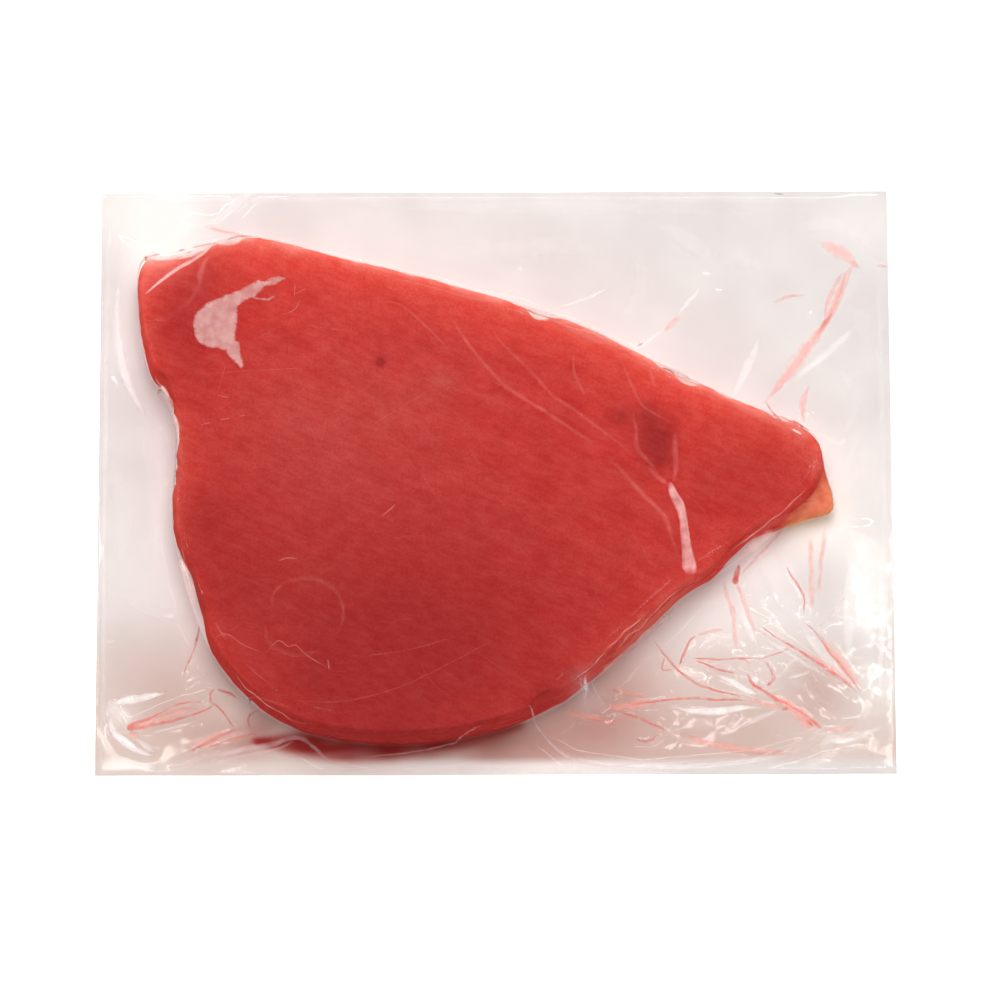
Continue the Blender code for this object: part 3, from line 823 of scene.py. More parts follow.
JUICE_THREADS = [
    (0.7, [(68.3, 20.4), (69.2, 18.8), (70.5, 17), (72, 15.4), (74, 12.6), (76.5, 10.8)]),
    (0.6, [(36.2, 34.6), (37.6, 35.4)]),
    (0.5, [(70.6, 13), (73.4, 11.8), (76, 10.2), (78.6, 9.2)]),
    (0.4, [(76.5, 10.8), (77.4, 12.2), (77.6, 14.6)]),
    (2, [(61.2, -22.4, 1.2), (60.6, -24.4, 1.6), (60.2, -26.4, 2.4)]),
    (2, [(60.6, -24.6, 1.2), (60.2, -26.2, 2.2), (60, -27, 1)]),
    (0.7, [(73, -22, 0.4), (74.2, -24.5, 0.8), (76.4, -28, 0.8), (77.5, -31, 0.6), (77.3, -34.5, 0.4)]),
    (1, [(66, -37.3, 0.4), (69, -39.7, 0.7), (73, -42.2, 0.9), (76, -44, 0.8), (80, -46.7, 1),
        (84, -49.2, 0.9), (90.5, -54.5, 0.4)]),
    (1, [(77, -36, 0.4), (80, -39, 0.7), (82.3, -42.3, 0.8), (85.2, -46.3, 0.9), (88, -50, 0.9),
        (91.3, -54.3, 0.5)]),
    (0.7, [(39.5, -41, 0.4), (42.5, -45, 0.8), (45.3, -48.3, 0.7), (48.3, -50.8, 0.7), (52, -53, 0.7),
        (62, -55.8, 0.5)]),
    (0.8, [(33, -57.6, 0.4), (37.8, -56.9, 0.9), (42, -56.3, 0.6), (50, -55.9, 0.8), (56, -56.3, 0.8),
        (62.3, -56.4, 1)]),
    (0.6, [(49, -45.7), (55, -46), (60, -45.8), (66, -45.8), (68, -45.4), (71, -44.5), (74, -43.2)]),
    (0.6, [(50, -46.3), (53, -47.3), (57, -48.8), (60, -49.7)]),
    (0.7, [(46, -47.5), (47, -44.5), (49, -41), (50.3, -39.8)]),
    (0.6, [(60.5, -46), (62.5, -46.3), (63.7, -47.3)]),
    (0.9, [(67, -46.4, 0.5), (69, -49, 1), (69.4, -51.2, 1.2), (67.6, -52.8, 0.9)]),
    (0.9, [(63, -49.8, 0.6), (64.3, -52.3, 1.2), (66.5, -53.8, 0.9)]),
    (1.1, [(64.5, -52.4, 1), (70, -55.9, 1), (74, -58.1, 0.8), (77.5, -60.4, 1), (80, -62.4, 1.3),
        (81.3, -63.4, 1.9)]),
    (0.8, [(77.5, -61.3, 0.6), (79.2, -62.9, 1.3)]),
    (0.8, [(71.3, -58.9), (73, -58.5)]),
    (0.8, [(31, -59.3, 0.5), (36, -60.9, 0.8), (40, -62.8, 0.8), (42.4, -63.7, 1)]),
    (0.6, [(40.5, -64.8), (39, -66.3), (36.5, -66.6), (35, -66)]),
    (0.5, [(42.3, -45.5), (41.5, -48.6), (44.5, -48.4)]),
    (1.4, [(-91.8, -63.4, 2.2), (-90.4, -63, 1.6), (-89, -62.4, 1)]),
    (1.1, [(-92.2, -63.3, 1.5), (-90, -62, 1.4), (-86, -60.6, 0.9), (-82, -58.5, 0.7), (-78, -56.8, 0.6),
        (-72, -56.4, 0.5)]),
    (1, [(-91.8, -63.7, 1.4), (-88, -62.9, 1.1), (-84, -62, 0.9), (-78, -60.5, 0.7), (-72, -58.4, 0.6),
        (-70, -57.3, 0.4)]),
    (0.7, [(-70.3, -53, 0.5), (-71.3, -54.5, 0.8), (-71, -56.5, 0.7), (-69, -58, 0.6), (-67, -60.5, 0.6),
        (-65.5, -63, 0.5)]),
    (1, [(-69.6, -53.2, 1.1), (-67, -54.3, 0.9), (-64.5, -55.8, 0.6)]),
    (1.1, [(-76.5, -69.3, 0.5), (-73, -67.2, 1.2), (-69, -65.2, 1.1), (-65, -63.3, 0.7)]),
    (0.7, [(-72, -68, 0.5), (-66, -66, 0.7), (-60, -64.3, 0.5)]),
    (0.6, [(-61, -63.5), (-62, -61.2), (-61, -59.5), (-58.5, -59.3)]),
    (0.5, [(-74, -38, 0.7), (-75.5, -43, 0.6), (-77, -46.5, 0.5), (-78.3, -50, 0.3)]),
    (0.5, [(-89, 58), (-87, 58.6), (-85, 58.9)]),
    (0.5, [(-89, 58), (-88.4, 56.6), (-87.4, 55)]),
    (0.6, [(-80.4, 59.8), (-78.6, 60.2)]),
    (0.6, [(-77, 60.6), (-74, 61.2), (-72, 61.6)]),
    (0.5, [(-78.6, 59.2), (-77, 59.5)]),
    (0.7, [(-81.2, 57.6), (-79, 58.2)]),
]
PALE_JUICE = [
    (1.4, [(92, 56.6, 1.2), (90, 54, 1.8), (88.6, 50, 1.6), (86.8, 45, 1.4), (84, 40.5, 1.5),
        (80.4, 35.5, 2)]),
    (1.4, [(85.6, 43, 1), (81.4, 37, 2), (76.4, 30, 2), (72.2, 24.6, 1.6), (67.6, 19.2, 1)]),
    (0.8, [(68.2, 20.6, 0.7), (70, 17.4, 0.9), (73, 14, 0.9), (76.5, 11, 0.8), (78.4, 9.8, 0.5)]),
    (1.9, [(89.2, 54.5, 1.1), (88.2, 51.5, 2.3), (86.6, 47, 1.9), (84.8, 42.6, 1.6), (82.6, 38.7, 2.2),
        (79.5, 34.5, 3.5), (76.8, 30.8, 3.8), (74, 27, 3.1), (71, 23.5, 2.2), (68.4, 20.6, 1.2)]),
    (0.81, [(89.3, 54, 0.81), (88, 50, 1.2), (86.2, 45.4, 1.1), (84.3, 41.5, 0.94), (82.4, 38.5, 0.81)]),
    (1.2, [(88.5, 54, 0.81), (86.3, 50, 1.5), (84.4, 45.3, 1.4), (83.4, 40.5, 0.94)]),
    (3.2, [(82.5, 61.8, 1.9), (86, 60, 3.8), (89, 58.2, 3.5), (91.2, 56.2, 2.2), (92.6, 54.8, 1.4)]),
    (1.2, [(90.3, 56.8), (91.6, 55.7), (92.6, 54.9)]),
    (0.94, [(96.5, 55.4), (100, 55.3)]),
    (1.6, [(79.8, 24.5, 0.81), (78.2, 21.3, 1.9), (77.6, 18, 1.6), (78.2, 14.5, 1.1)]),
    (1.9, [(46.7, 42.3), (45, 40.6), (43, 38.6)]),
    (0.94, [(70.5, 45.8), (74, 47.2), (79, 47.8)]),
    (1.4, [(60.2, -25.5), (61.5, -29), (63, -33.5), (64.5, -37.5), (65, -40)]),
    (1.4, [(57.6, -25.6), (58, -29), (59.5, -34), (60, -40), (60.4, -44)]),
    (1.6, [(79.3, -14), (79.3, -20), (79.4, -27), (79.3, -34)]),
    (1.4, [(83, -12.5), (82, -20), (81, -30)]),
    (2.4, [(77, -44.4, 1.1), (82, -47.6, 3), (86, -50.6, 2.7), (90, -54, 1.2)]),
    (2.4, [(80, -38.8, 1.1), (84.5, -44.3, 2.6), (88, -49, 3), (91.5, -53.5, 1.4)]),
    (1.2, [(62, -56), (68, -57.6), (71.5, -58.7)]),
    (0.94, [(50.3, -39.8), (54, -38.8), (57.7, -38.3)]),
    (2.2, [(27, -58.3, 1.1), (31, -58, 2.4), (36, -57.3, 2.2), (40, -56.8, 1.2)]),
    (1.4, [(28, -53.2), (33, -54.6), (38, -55.6)]),
    (1.5, [(16.5, -58.7), (21, -60), (26, -61.2), (31.5, -62.2)]),
    (1.9, [(75, -60.3, 0.81), (77, -62, 2.2), (78.8, -63.4, 1.9)]),
    (3.2, [(66, -53.6, 1.4), (72, -57.2, 3), (78, -61.4, 3.2), (81, -63.6, 2.4)]),
    (1.4, [(82, -63.5), (86, -63.9), (89.3, -63.2)]),
    (3.2, [(-91.5, -64.4, 3), (-89, -65.4, 2.2)]),
    (2.4, [(-91, -63.4, 1.9), (-86, -61.6, 2.7), (-80, -59.3, 2.2), (-73, -57.4, 1.1)]),
    (2.2, [(44, -64.2, 1.1), (55, -67.5, 2.7), (65, -69.3, 2.2), (75, -69.6, 1.1)]),
    (1.1, [(-73.7, 66.3, 2.4), (-70, 65, 1.4), (-65, 63.9, 1.2), (-61, 62.6, 0.94)]),
    (0.94, [(73, -13, 1.1), (70, -15.8), (66, -19.8), (61, -25.2)]),
]

# Beside the steak's outline: (width, start, end, offset, how much the offset wanders).
FOOT_LINES = [
    (0.45, (-60, -57), (-30, -67), 0.1, 0.1), (0.5, (-30, -67), (10, -61), 0.1, 0.1),
    (0.5, (10, -61), (45, -33), -0.2, 0.25), (0.4, (40, -37), (20, -55), -1.3, 0.4),
    (0.5, (45, -33), (59, -23), 0, 0.15), (0.25, (-40, 54), (-5, 45), 0.1, 0.15),
    (0.35, (14, 39), (31, 32), 0.1, 0.2), (0.35, (40, 27), (47, 23.5), 0.1, 0.3),
    (0.25, (50, 22), (70, 13), 0.1, 0.15),
]
EDGE_LINES = [
    (2, (45, -33), (22, -52), 0.4, 0.3), (0.35, (47, -31), (30, -47), -0.3, 0.3),
    (0.45, (38, -39.5), (28, -48), -1.6, 0.4), (0.4, (28, -48), (19, -55), -1, 0.4),
    (0.4, (79, -7), (59, -23), -1.6, 0.2), (0.45, (14, 39), (31, 32), -2.2, 0.4),
    (0.4, (8, 41), (16, 38), 0, 0.5), (0.6, (40, 27), (50, 22), -1.6, 0.5),
    (0.3, (66, 15), (80, 8), -1.4, 0.4), (0.5, (-86, 23), (-80, 13), -0.3, 0.5),
    (0.35, (-79, -20), (-74, -34), -1.2, 0.5), (0.3, (-64, -52), (-45, -65), -0.5, 0.3),
]

# Under the film: darker edges of the steak's foot, brown bands and the stained folds.
DARK_EDGES = [
    (0.8, [(79.5, -7.4, 0.4), (75, -9.2, 0.8), (70, -12.6, 1), (66, -15.2, 1.2), (62, -18, 0.9),
        (59, -20.2, 0.5)]),
    (0.6, [(-67.5, 59), (-63.5, 59.4), (-60.5, 58.6)]),
    (0.5, [(-72.6, 61.2), (-70.8, 61.7)]),
]
BROWN_BANDS = [
    (2.4, [(11, 38.2, 0.8), (17, 35.4, 2.4), (24, 32.8, 2.8), (30, 29.8, 1.8), (35, 27.2, 0.6)]),
    (1.6, [(40, 26.4, 0.6), (45, 23.6, 1.8), (50, 21, 0.6)]),
    (2, [(76.6, -9.6, 0.8), (70, -13.6, 2.2), (64, -17.8, 2), (60, -21, 0.8)]),
]
STAINED_FOLDS = [
    (2.4, [(-81, 56.6, 0.8), (-78, 57.2, 2.4), (-74, 58.4, 2), (-70.5, 59.4, 1)]),
    (2.8, [(-89.4, 58, 1.4), (-87.4, 58.4, 2.6), (-85.4, 59, 1.6)]),
    (0.7, [(-83, 59), (-79, 60), (-76.5, 60.8), (-72, 61.8), (-70, 62)]),
    (2.4, [(73, -13.4, 0.8), (70, -15, 2), (66, -18, 3.4), (62, -21.5, 3), (60.4, -24.6, 1.2)]),
    (2, [(-78.6, -22, 0.8), (-77.2, -26, 2.2), (-75.6, -31, 2.4), (-74.2, -36.5, 1.6)]),
    (4, [(-78, -67, 2), (-72, -66.5, 4), (-66, -65.5, 4), (-61, -64.5, 2)]),
]

# On the film: faint haze with painted sheen, gleams that are painted highlights, pale film with a
# painted highlight where it bridges nicks in the flesh, painted glints as specks, and dark specks.
# Faint white haze bands, partly painted sheen.
HAZE_AND_SHEEN = [
    (3, [(40, 65.5, 1), (45, 64.5, 4), (50, 61.5, 5), (54, 57.5, 4), (55, 53, 1)]),
    (3, [(57, 54.5, 1), (60, 58.3, 5), (64, 57.4, 5.4), (69.5, 53, 1.4)]),
    (3, [(-40, 72, 1), (-10, 71, 3.2), (20, 70.5, 3.6), (50, 70, 3), (66, 68, 1)]),
    (3.4, [(84, -5, 1), (88, 0, 5), (91, 6, 5), (90, 12, 1)]),
    (2.6, [(86, 29, 1), (90.5, 24, 4), (91, 18, 3), (88, 13, 1)]),
    (2, [(93, 54, 1.6), (90.5, 50.5, 2.2), (88, 45, 1.8), (85, 40, 1)]),
    (3, [(74, 64, 1), (80, 66, 4), (88, 66, 5), (95, 62, 3), (97, 57, 1)]),
    (4, [(-10, 62, 1), (4, 60, 5), (16, 61, 6), (28, 58, 2)]),
    (4, [(30, 42, 1), (36, 46, 4), (38, 52, 4), (34, 58, 1)]),
    (5, [(88, 46, 1), (94, 40, 6), (95, 32, 6), (92, 26, 2)]),
    (4, [(-97, 8, 1), (-95, 0, 5), (-93, -10, 5), (-95, -22, 2)]),
    (5, [(-90, 16, 1), (-86, 4, 5), (-85, -8, 5), (-87, -20, 2)]),
    (3, [(-94, -30, 1), (-86, -33, 4), (-80, -34.5, 3), (-77, -36, 1)]),
    (6, [(64, -20, 2), (70, -24, 7), (73, -31, 7), (74, -37, 2)]),
    (4, [(50, -31, 1), (55, -30, 5), (58, -34, 4), (58, -40, 1)]),
    (3, [(-40, -74, 1), (-15, -73.6, 2.6), (10, -73.4, 2.8), (30, -73.5, 1)]),
    (1.2, [(-99, 60), (-98.6, 20), (-98.4, -20), (-98, -62)]),
    (2, [(72, -47.5, 1), (76, -51, 4), (80, -55, 3), (86, -59, 1)]),
]
# Painted highlights: soft white bands where the film would mirror light.
GLEAMS = [
    (2, [(-95.6, 43, 0.8), (-95.2, 34, 2.4), (-93.4, 27, 2.8), (-90.8, 21, 2.4), (-88, 16, 0.8)]),
    (2.6, [(-95, 52, 0.6), (-96, 44, 1.8), (-95.5, 36, 2.8), (-94, 28, 3), (-91, 21, 2.4),
        (-88.5, 17, 1)]),
    (1.4, [(-90.5, 42), (-89, 34), (-87, 26)]),
    (2.2, [(67.2, 37, 0.8), (65.8, 33, 2.2), (63.4, 28, 2.5), (61.4, 24, 2.2), (60, 21, 1.4)]),
    (2.2, [(91.4, 39.6, 1), (88, 36, 2.4), (84, 32.5, 2.6), (81, 30, 2.2), (77.5, 27, 2),
        (75.5, 24.5, 1)]),
    (1.3, [(52.5, 50), (49, 45.7), (46.5, 42.4)]),
    (1.1, [(42.5, 38.6), (38.5, 35.6), (35, 33.4)]),
    (0.9, [(29.5, 50), (21.5, 46.3), (16, 45)]),
    (1.8, [(-59, 75, 1), (-64, 74, 2), (-66.6, 71.5, 2.4), (-68.4, 69.2, 2.4), (-71, 67.6, 2),
        (-74, 66.8, 1)]),
    (3.6, [(-97, -57, 2), (-95, -59, 5), (-92.5, -60.5, 5), (-91.5, -62, 2)]),
    (1.4, [(-90, -65.6, 0.5), (-87.5, -67.5, 1.6), (-85, -69.4, 1)]),
    (1, [(-86, -64.3), (-80, -62.9), (-75, -61.6)]),
    (4, [(87, -12, 2), (93, -18, 8), (93.5, -28, 9), (92.5, -38, 6), (93, -44, 2)]),
    (3, [(89.6, -16, 0.8), (89.4, -24, 3), (88.8, -34, 3.8), (88.4, -42, 3), (88, -48, 0.8)]),
    (2, [(76.4, -37.4, 0.8), (80, -42.4, 2.6), (85, -47.6, 3), (90, -53, 1.4)]),
    (2, [(61, -31, 0.8), (62.4, -35, 2.2), (64, -39.4, 2.2), (65, -42, 0.8)]),
    (2, [(96, -20, 1), (97, -33, 2.2), (96.5, -45, 1.6), (96, -58, 1)]),
    (2, [(61.5, -63.3, 0.6), (66, -60.8, 1.8), (71, -58.6, 1)]),
    (1.2, [(72, -50), (73.5, -47), (77, -45.8)]),
    (0.9, [(72.5, -50.8), (76, -50.2), (79, -49)]),
    (2.6, [(80, -69.2, 0.8), (84, -66.2, 2.8), (88, -66.4, 2.6), (93, -64.6, 2), (98, -62.8, 1)]),
    (1, [(28, -72.6, 0.8), (40, -73.2, 1.2), (52, -73, 1.6), (65, -71.4, 1.8), (76, -69.4, 1.4)]),
    (1.2, [(51, -42.6), (54, -40.8), (60, -40)]),
    (1.2, [(67, -40.6), (72, -43.8), (76, -46.4), (82, -50.4)]),
    (1, [(84.6, -41), (88, -46), (91.6, -51)]),
    (1.2, [(-84, -34.8), (-80, -34.4)]),
    (0.7, [(-97, -41), (-95, -41)]),
]
# Pale film where it bridges nicks in the flesh: a painted highlight laid over the shade in the gaps.
BRIDGED_NICKS = [
    (1.8, [(-85, 56.8, 0.8), (-82, 57.4, 1.6), (-79, 57.6, 1.4), (-74.5, 59, 1.2), (-71, 59.6, 0.8)]),
    (2, [(-70.6, 57.4, 0.8), (-68, 56.9, 1.8), (-65.4, 56.9, 1.8), (-62.6, 57.7, 0.8)]),
    (1.6, [(7.8, 39.4, 0.5), (9.6, 37.8, 1.2), (11.6, 37.2, 1.5), (14, 37, 0.5)]),
    (1.4, [(-85, 22), (-82.5, 19.6), (-81.2, 16.4)]),
    (0.9, [(-78, -23.4), (-76.6, -27), (-75.4, -31)]),
    (0.9, [(-80.4, 14.5, 0.5), (-79, 10, 1), (-78.6, 6, 0.5)]),
    (0.8, [(73.8, 9.4, 0.4), (75.2, 8.7, 0.9), (76.6, 7.9, 0.4)]),
    (1.6, [(44.8, 22.6, 0.5), (46.6, 21.2, 1.1), (48.4, 20.4, 1.4), (51, 20, 0.5)]),
]
BRIGHT_GLEAMS = [
    (1.6, [(-97, -57, 0.8), (-91, -55.8, 2.2), (-86, -54.9, 1.8), (-82, -54, 0.6)]),
    (1.8, [(-96.6, -60, 1), (-95.4, -64, 1.8), (-91.6, -67.3, 2.2), (-88, -69.4, 1.6), (-85, -70, 0.8)]),
    (3, [(90.4, -22, 1), (91.4, -27, 2.6), (91.2, -33, 3), (90.6, -38, 1)]),
    (3, [(44, -57.8, 0.6), (49, -59, 1.8), (56, -59, 2.2), (62, -58.2, 1.8), (67, -58.4, 0.6)]),
    (2.4, [(55, -49.8, 0.6), (59.5, -51.9, 1.8), (63, -54, 1.8), (65.6, -55.2, 0.8)]),
    (1.6, [(64.4, -50.6), (65.8, -51.6)]),
    (1.6, [(22, -53, 0.8), (22.6, -54.4, 1.6), (21, -57, 0.8)]),
    (1.4, [(43, -35.4), (41, -37)]),
    (1.6, [(84, -67, 0.6), (87, -66.6, 1.6), (90, -66, 0.6)]),
]
# Painted glints: tiny cream-white specks on the film.
PAINTED_GLINTS = [
    (1, [(5.9, 55), (7.1, 55)]), (0.8, [(20.2, 51.2), (20.8, 50.8)]),
    (0.8, [(55.8, 49.2), (58.2, 49.2)]), (1.1, [(79.6, 43.3), (80.6, 43.1)]),
    (0.5, [(69.8, 43.5), (70.4, 43.5)]), (0.5, [(98, 62), (98.4, 61.6)]),
    (0.4, [(62, 45.5), (62.6, 45)]),
]
DARK_SPECKS = [
    (0.5, [(-1.7, 61.5), (-1.2, 61.5)]), (0.4, [(71.2, 74.4), (73.8, 74.2)]),
]


def thread_shape(flatness, taper, unevenness, wander):
    """How flat a thread is, how tapered, how uneven, and how far it drifts in millimetres."""
    return dict(Flatness=flatness, Taper=taper, Unevenness=unevenness, Wander=wander * MM)


ON_FACE = thread_shape(0.3, 0.4, 0.8, 0.3)
SMEARED = thread_shape(0.08, 0.3, 1.2, 0.5)
SCRATCHED = thread_shape(0.3, 0.5, 1.4, 0.5)
FOLDED = thread_shape(0.4, 0.2, 1.0, 0.6)
FLAT = thread_shape(0.06, 0.12, 0.3, 0.3)
# The fine fibres of the flesh, placed at random.
FIBRE_COUNT = 34
FIBRE_SEED = 5


def beside_outline(outline, start, end, offset, wander):
    """The stretch of the steak's outline between two places, moved out by an uneven offset."""
    first = np.argmin(np.linalg.norm(outline - np.array(start) * MM, axis=1))
    last = np.argmin(np.linalg.norm(outline - np.array(end) * MM, axis=1))
    steps = (last - first) % len(outline)
    if steps > len(outline) / 2:
        first, steps = last, len(outline) - steps
    chosen = (first + np.arange(steps + 1)) % len(outline)
    flat = np.column_stack([outline, np.zeros(len(outline))])
    drift = offset + wander * 2 * ripple(flat, 5, 11 + offset)
    return (outline / MM + drift[:, None] * outward(outline))[chosen].tolist()


def random_fibres(count, seed):
    """Short faint lines across the flesh, along the flow of its flakes."""
    rng = np.random.default_rng(seed)
    fibres = []
    while len(fibres) < count:
        x, y = rng.uniform(-72, 60), rng.uniform(-58, 48)
        inside = y < 44 - 0.42 * (x + 20) and y > -58 + 0.72 * max(0.0, x + 5)
        inside = inside and y > -60 - 1.5 * (x + 72) + 20
        if not inside:
            continue
        bearing = np.radians(rng.normal(-32 if x > -20 else 12, 24))
        length = rng.uniform(3, 13)
        bend = rng.uniform(-0.12, 0.12) * length
        along = np.array([np.cos(bearing), np.sin(bearing)])
        side = np.array([-along[1], along[0]])
        path = [(x, y) + along * length * t + side * bend * np.sin(np.pi * t) for t in (0, 0.35, 0.7, 1)]
        fibres.append((rng.uniform(0.25, 0.6), [tuple(p) for p in path]))
    return fibres


def thread_kinds(on_flesh, on_film):
    """Every kind of thread: the surface and slot, then its piece, its paths, its lift in millimetres,
    its shape, and its material's name, colour, cloudiness and the rest."""
    outline = steak_outline(FINE_OUTLINE_POINTS)
    foot_paths = [(w, beside_outline(outline, *rest)) for w, *rest in FOOT_LINES] + DARK_EDGES
    edge_paths = [(w, beside_outline(outline, *rest)) for w, *rest in EDGE_LINES]
    fibres = random_fibres(FIBRE_COUNT, FIBRE_SEED)
    return (
        (on_flesh, "raw_tuna", (
            ("septa", SEPTA, 0.03, ON_FACE, "septum", (0.84, 0.24, 0.21), 0.21, 0.6, 0.6),
            ("fat_streaks", FAT_STREAKS, 0.02, FLAT, "fat", (0.97, 0.54, 0.52), 0.7, 0.5, 0.25),
            ("faint_lines", FAINT_LINES, 0.03, ON_FACE, "faint_line", (0.85, 0.22, 0.19), 0.18),
            ("fibres", fibres, 0.03, ON_FACE, "fibre", (0.8, 0.18, 0.15), 0.1),
            ("smudges", SMUDGES, 0.04, SMEARED, "smudge", (0.88, 0.28, 0.24), 0.07),
            ("scratches", SCRATCHES, 0.06, SCRATCHED, "scratch", (0.92, 0.42, 0.37), 0.2),
        )),
        (on_film, "clear_film", (
            ("creases", CREASES, 0.08, FOLDED, "pinched_film", (0.82, 0.66, 0.69), 0.26, 0.7, 0.3,
             (0.99, 0.97, 0.97)),
            ("edge_lines", edge_paths, 0.05, FOLDED, "edge_film", (0.92, 0.46, 0.4), 0.22, 1.0),
            ("cloudy_film", HAZE_AND_SHEEN, 0.1, SMEARED, "cloudy_film", (1, 0.98, 0.97), 0.035, 0.5, 0.8),
            ("gleams", GLEAMS, 0.12, SMEARED, "gleam", (1, 0.98, 0.97), 0.13, 0.5, 0.6),
            ("bridged_nicks", BRIDGED_NICKS, 0.1, SMEARED, "bridged_nick", (0.8, 0.6, 0.56), 0.5, 0.4, 0.6),
            ("bright_gleams", BRIGHT_GLEAMS, 0.15, SMEARED, "bright_gleam", (1, 0.99, 0.98), 0.3, 0.5, 0.6),
            ("specks", PAINTED_GLINTS, 0.05, ON_FACE, "speck", (1, 1, 0.86), 0.5),
            ("dark_specks", DARK_SPECKS, 0.05, ON_FACE, "dark_speck", (0.12, 0.1, 0.1), 0.3),
        )),
        (on_film, "raw_tuna", (
            ("foot_juice", foot_paths, -0.05, FOLDED, "foot_juice", (0.42, 0.05, 0.045), 0.3),
            ("brown_bands", BROWN_BANDS, -0.04, SMEARED, "brown_band", (0.52, 0.11, 0.085), 0.16, 0.9, 0.4),
            ("juice_threads", JUICE_THREADS, -0.03, FOLDED, "juice", (0.74, 0.14, 0.12), 0.5, 1.0, 0.25),
            ("pale_juice", PALE_JUICE, -0.06, SMEARED, "pale_juice", (0.98, 0.4, 0.34), 0.3, 0.6),
            ("stained_folds", STAINED_FOLDS, 0.03, SMEARED, "stained_fold", (1, 0.6, 0.54), 0.16, 0.8),
        )),
    )


# The pocket of trapped air as runs with half widths: its broad part, its tail and its upper arm.
AIR_RUNS = [
    [(-70.6, 36.2, 4.9), (-70.3, 34.6, 5)],
    [(-70, 38.4, 3.6), (-67.4, 39.6, 3.4), (-66.4, 41.6, 2.2)],
    [(-67.4, 38.5, 3.3), (-67.4, 32, 2.9), (-67.6, 31, 2)],
    [(-65.4, 30, 2), (-65.2, 29, 1.9), (-64.2, 27, 1.3), (-63.2, 25.2, 0.8)],
    [(-66, 41.6, 2.2), (-63, 43.2, 1.7), (-61, 44.2, 1.9), (-59, 45.6, 1.5)],
    [(-59, 46.2, 1), (-57.4, 46.2, 0.8), (-55.6, 46.8, 1.2), (-54, 47.4, 0.9), (-52.6, 47.6, 0.4)],
    [(-60.4, 42.4, 0.3), (-58.6, 42.3, 0.4), (-56.6, 42, 0.4), (-55.2, 42.8, 0.3)],
]
# The pad's thickness and its height above the flesh, then the cells' size, how far the pad
# reaches past the runs, and the area that the cells are sought in.
AIR_TOP = 0.12 * MM
AIR_FOOT = 0.02 * MM
AIR_CELL = 0.3
AIR_MARGIN = 0.8
AIR_AREA = ((-78, -50), (22, 50))


def make_air_pocket(surface):
    """The pocket of trapped air and frost: a thin pad of small cells, with its depth stored."""
    x, y = np.meshgrid(*(np.arange(low, high, AIR_CELL) for low, high in AIR_AREA))
    plan = np.column_stack([x.ravel(), y.ravel()])
    inside = np.full(len(plan), -np.inf)
    for run in AIR_RUNS:
        knots = np.array(run, float)
        for start, end in zip(knots, knots[1:]):
            share, distance = near_step(plan, start, end)
            inside = np.maximum(inside, start[2] + share * (end[2] - start[2]) - distance)
    kept = (inside > -AIR_MARGIN).reshape(x.shape)
    shape = bmesh.new()
    layer = shape.verts.layers.float.new("inside")
    corners = {}
    for row, column in zip(*np.nonzero(kept)):
        corner = shape.verts.new((x[row, column] * MM, y[row, column] * MM, 0.0))
        corner[layer] = inside[row * x.shape[1] + column]
        corners[row, column] = corner
    around = ((0, 0), (0, 1), (1, 1), (1, 0))
    for row, column in corners:
        square = [corners.get((row + up, column + over)) for up, over in around]
        if all(square):
            shape.faces.new(square)
    loose = [v for v in shape.verts if not v.link_faces]
    bmesh.ops.delete(shape, geom=loose, context="VERTS")
    body = bmesh.ops.extrude_face_region(shape, geom=shape.faces[:])
    tops = {v for v in body["geom"] if isinstance(v, bmesh.types.BMVert)}
    for vert in shape.verts:
        lift = AIR_TOP if vert in tops else AIR_FOOT
        vert.co.z = height_below(surface, vert.co.x, vert.co.y) + lift
    bmesh.ops.recalc_face_normals(shape, faces=shape.faces)
    mesh = bpy.data.meshes.new("air_pocket")
    shape.to_mesh(mesh)
    shape.free()
    mesh.shade_smooth()
    return add_piece("air_pocket", mesh)


# --- materials --------------------------------------------------------------------------------

FLESH_FACE = (0.595, 0.043, 0.036)
FLESH_DEEP = (0.48, 0.030, 0.027)
FLESH_PALE = (0.66, 0.085, 0.072)
# Colours for the painted places of the flesh and of the film, in the order that they cover. On the
# flesh, the rim's glow is painted light, the frost is partly painted light, and the dark places are
# partly painted shade.
FLESH_TINTS = {
    "grey": (0.55, 0.080, 0.069), "painted_rim_glow": (0.84, 0.085, 0.058), "frost": (0.87, 0.25, 0.195),
    "dark": (0.35, 0.027, 0.026),
}
SKIN_UPPER = (0.83, 0.22, 0.13)
SKIN_BROWN = (0.62, 0.12, 0.05)
SKIN_LOWER = (1.0, 0.58, 0.18)
# Multipliers: the fine weave of the flesh, and its broader soft patches.
FLECK_DEEP = (0.95, 0.83, 0.83)
FLECK_PALE = (1.04, 1.20, 1.20)
PATCH_DEEP = (0.97, 0.91, 0.91)
PATCH_PALE = (1.02, 1.10, 1.10)
FLESH_ROUGHNESS = 0.5

FILM_TINT = (0.789, 0.767, 0.755)
FILM_DARKER = (0.765, 0.736, 0.728)
# On the film, the shaded tint is painted shade towards the lower edge, the clear tint is painted light, the
# pink tint is juice with painted shade, the wall's tint is painted light, and the darkest tint is the
# steak's painted shadow with juice.
FILM_TINTS = {
    "shaded": (0.755, 0.675, 0.635), "clear": (0.865, 0.838, 0.820), "pink": (0.575, 0.38, 0.345),
    "painted_light_wall": (0.95, 0.92, 0.91), "stain": (0.51, 0.155, 0.145),
}
FILM_HAZE = (0.93, 0.89, 0.88, 1)
FILM_INDEX = 1.55
FILM_ROUGHNESS = 0.07

# A thread's colour is mottled, down to this share of itself.
THREAD_SHADE = 0.88

AIR_DEEP = (0.60, 0.28, 0.26)
AIR_PALE = (0.72, 0.43, 0.41)


def new_material(name):
    material = bpy.data.materials.new(name)
    material.use_nodes = True
    material.node_tree.nodes.clear()
    return material, Tree(material.node_tree)


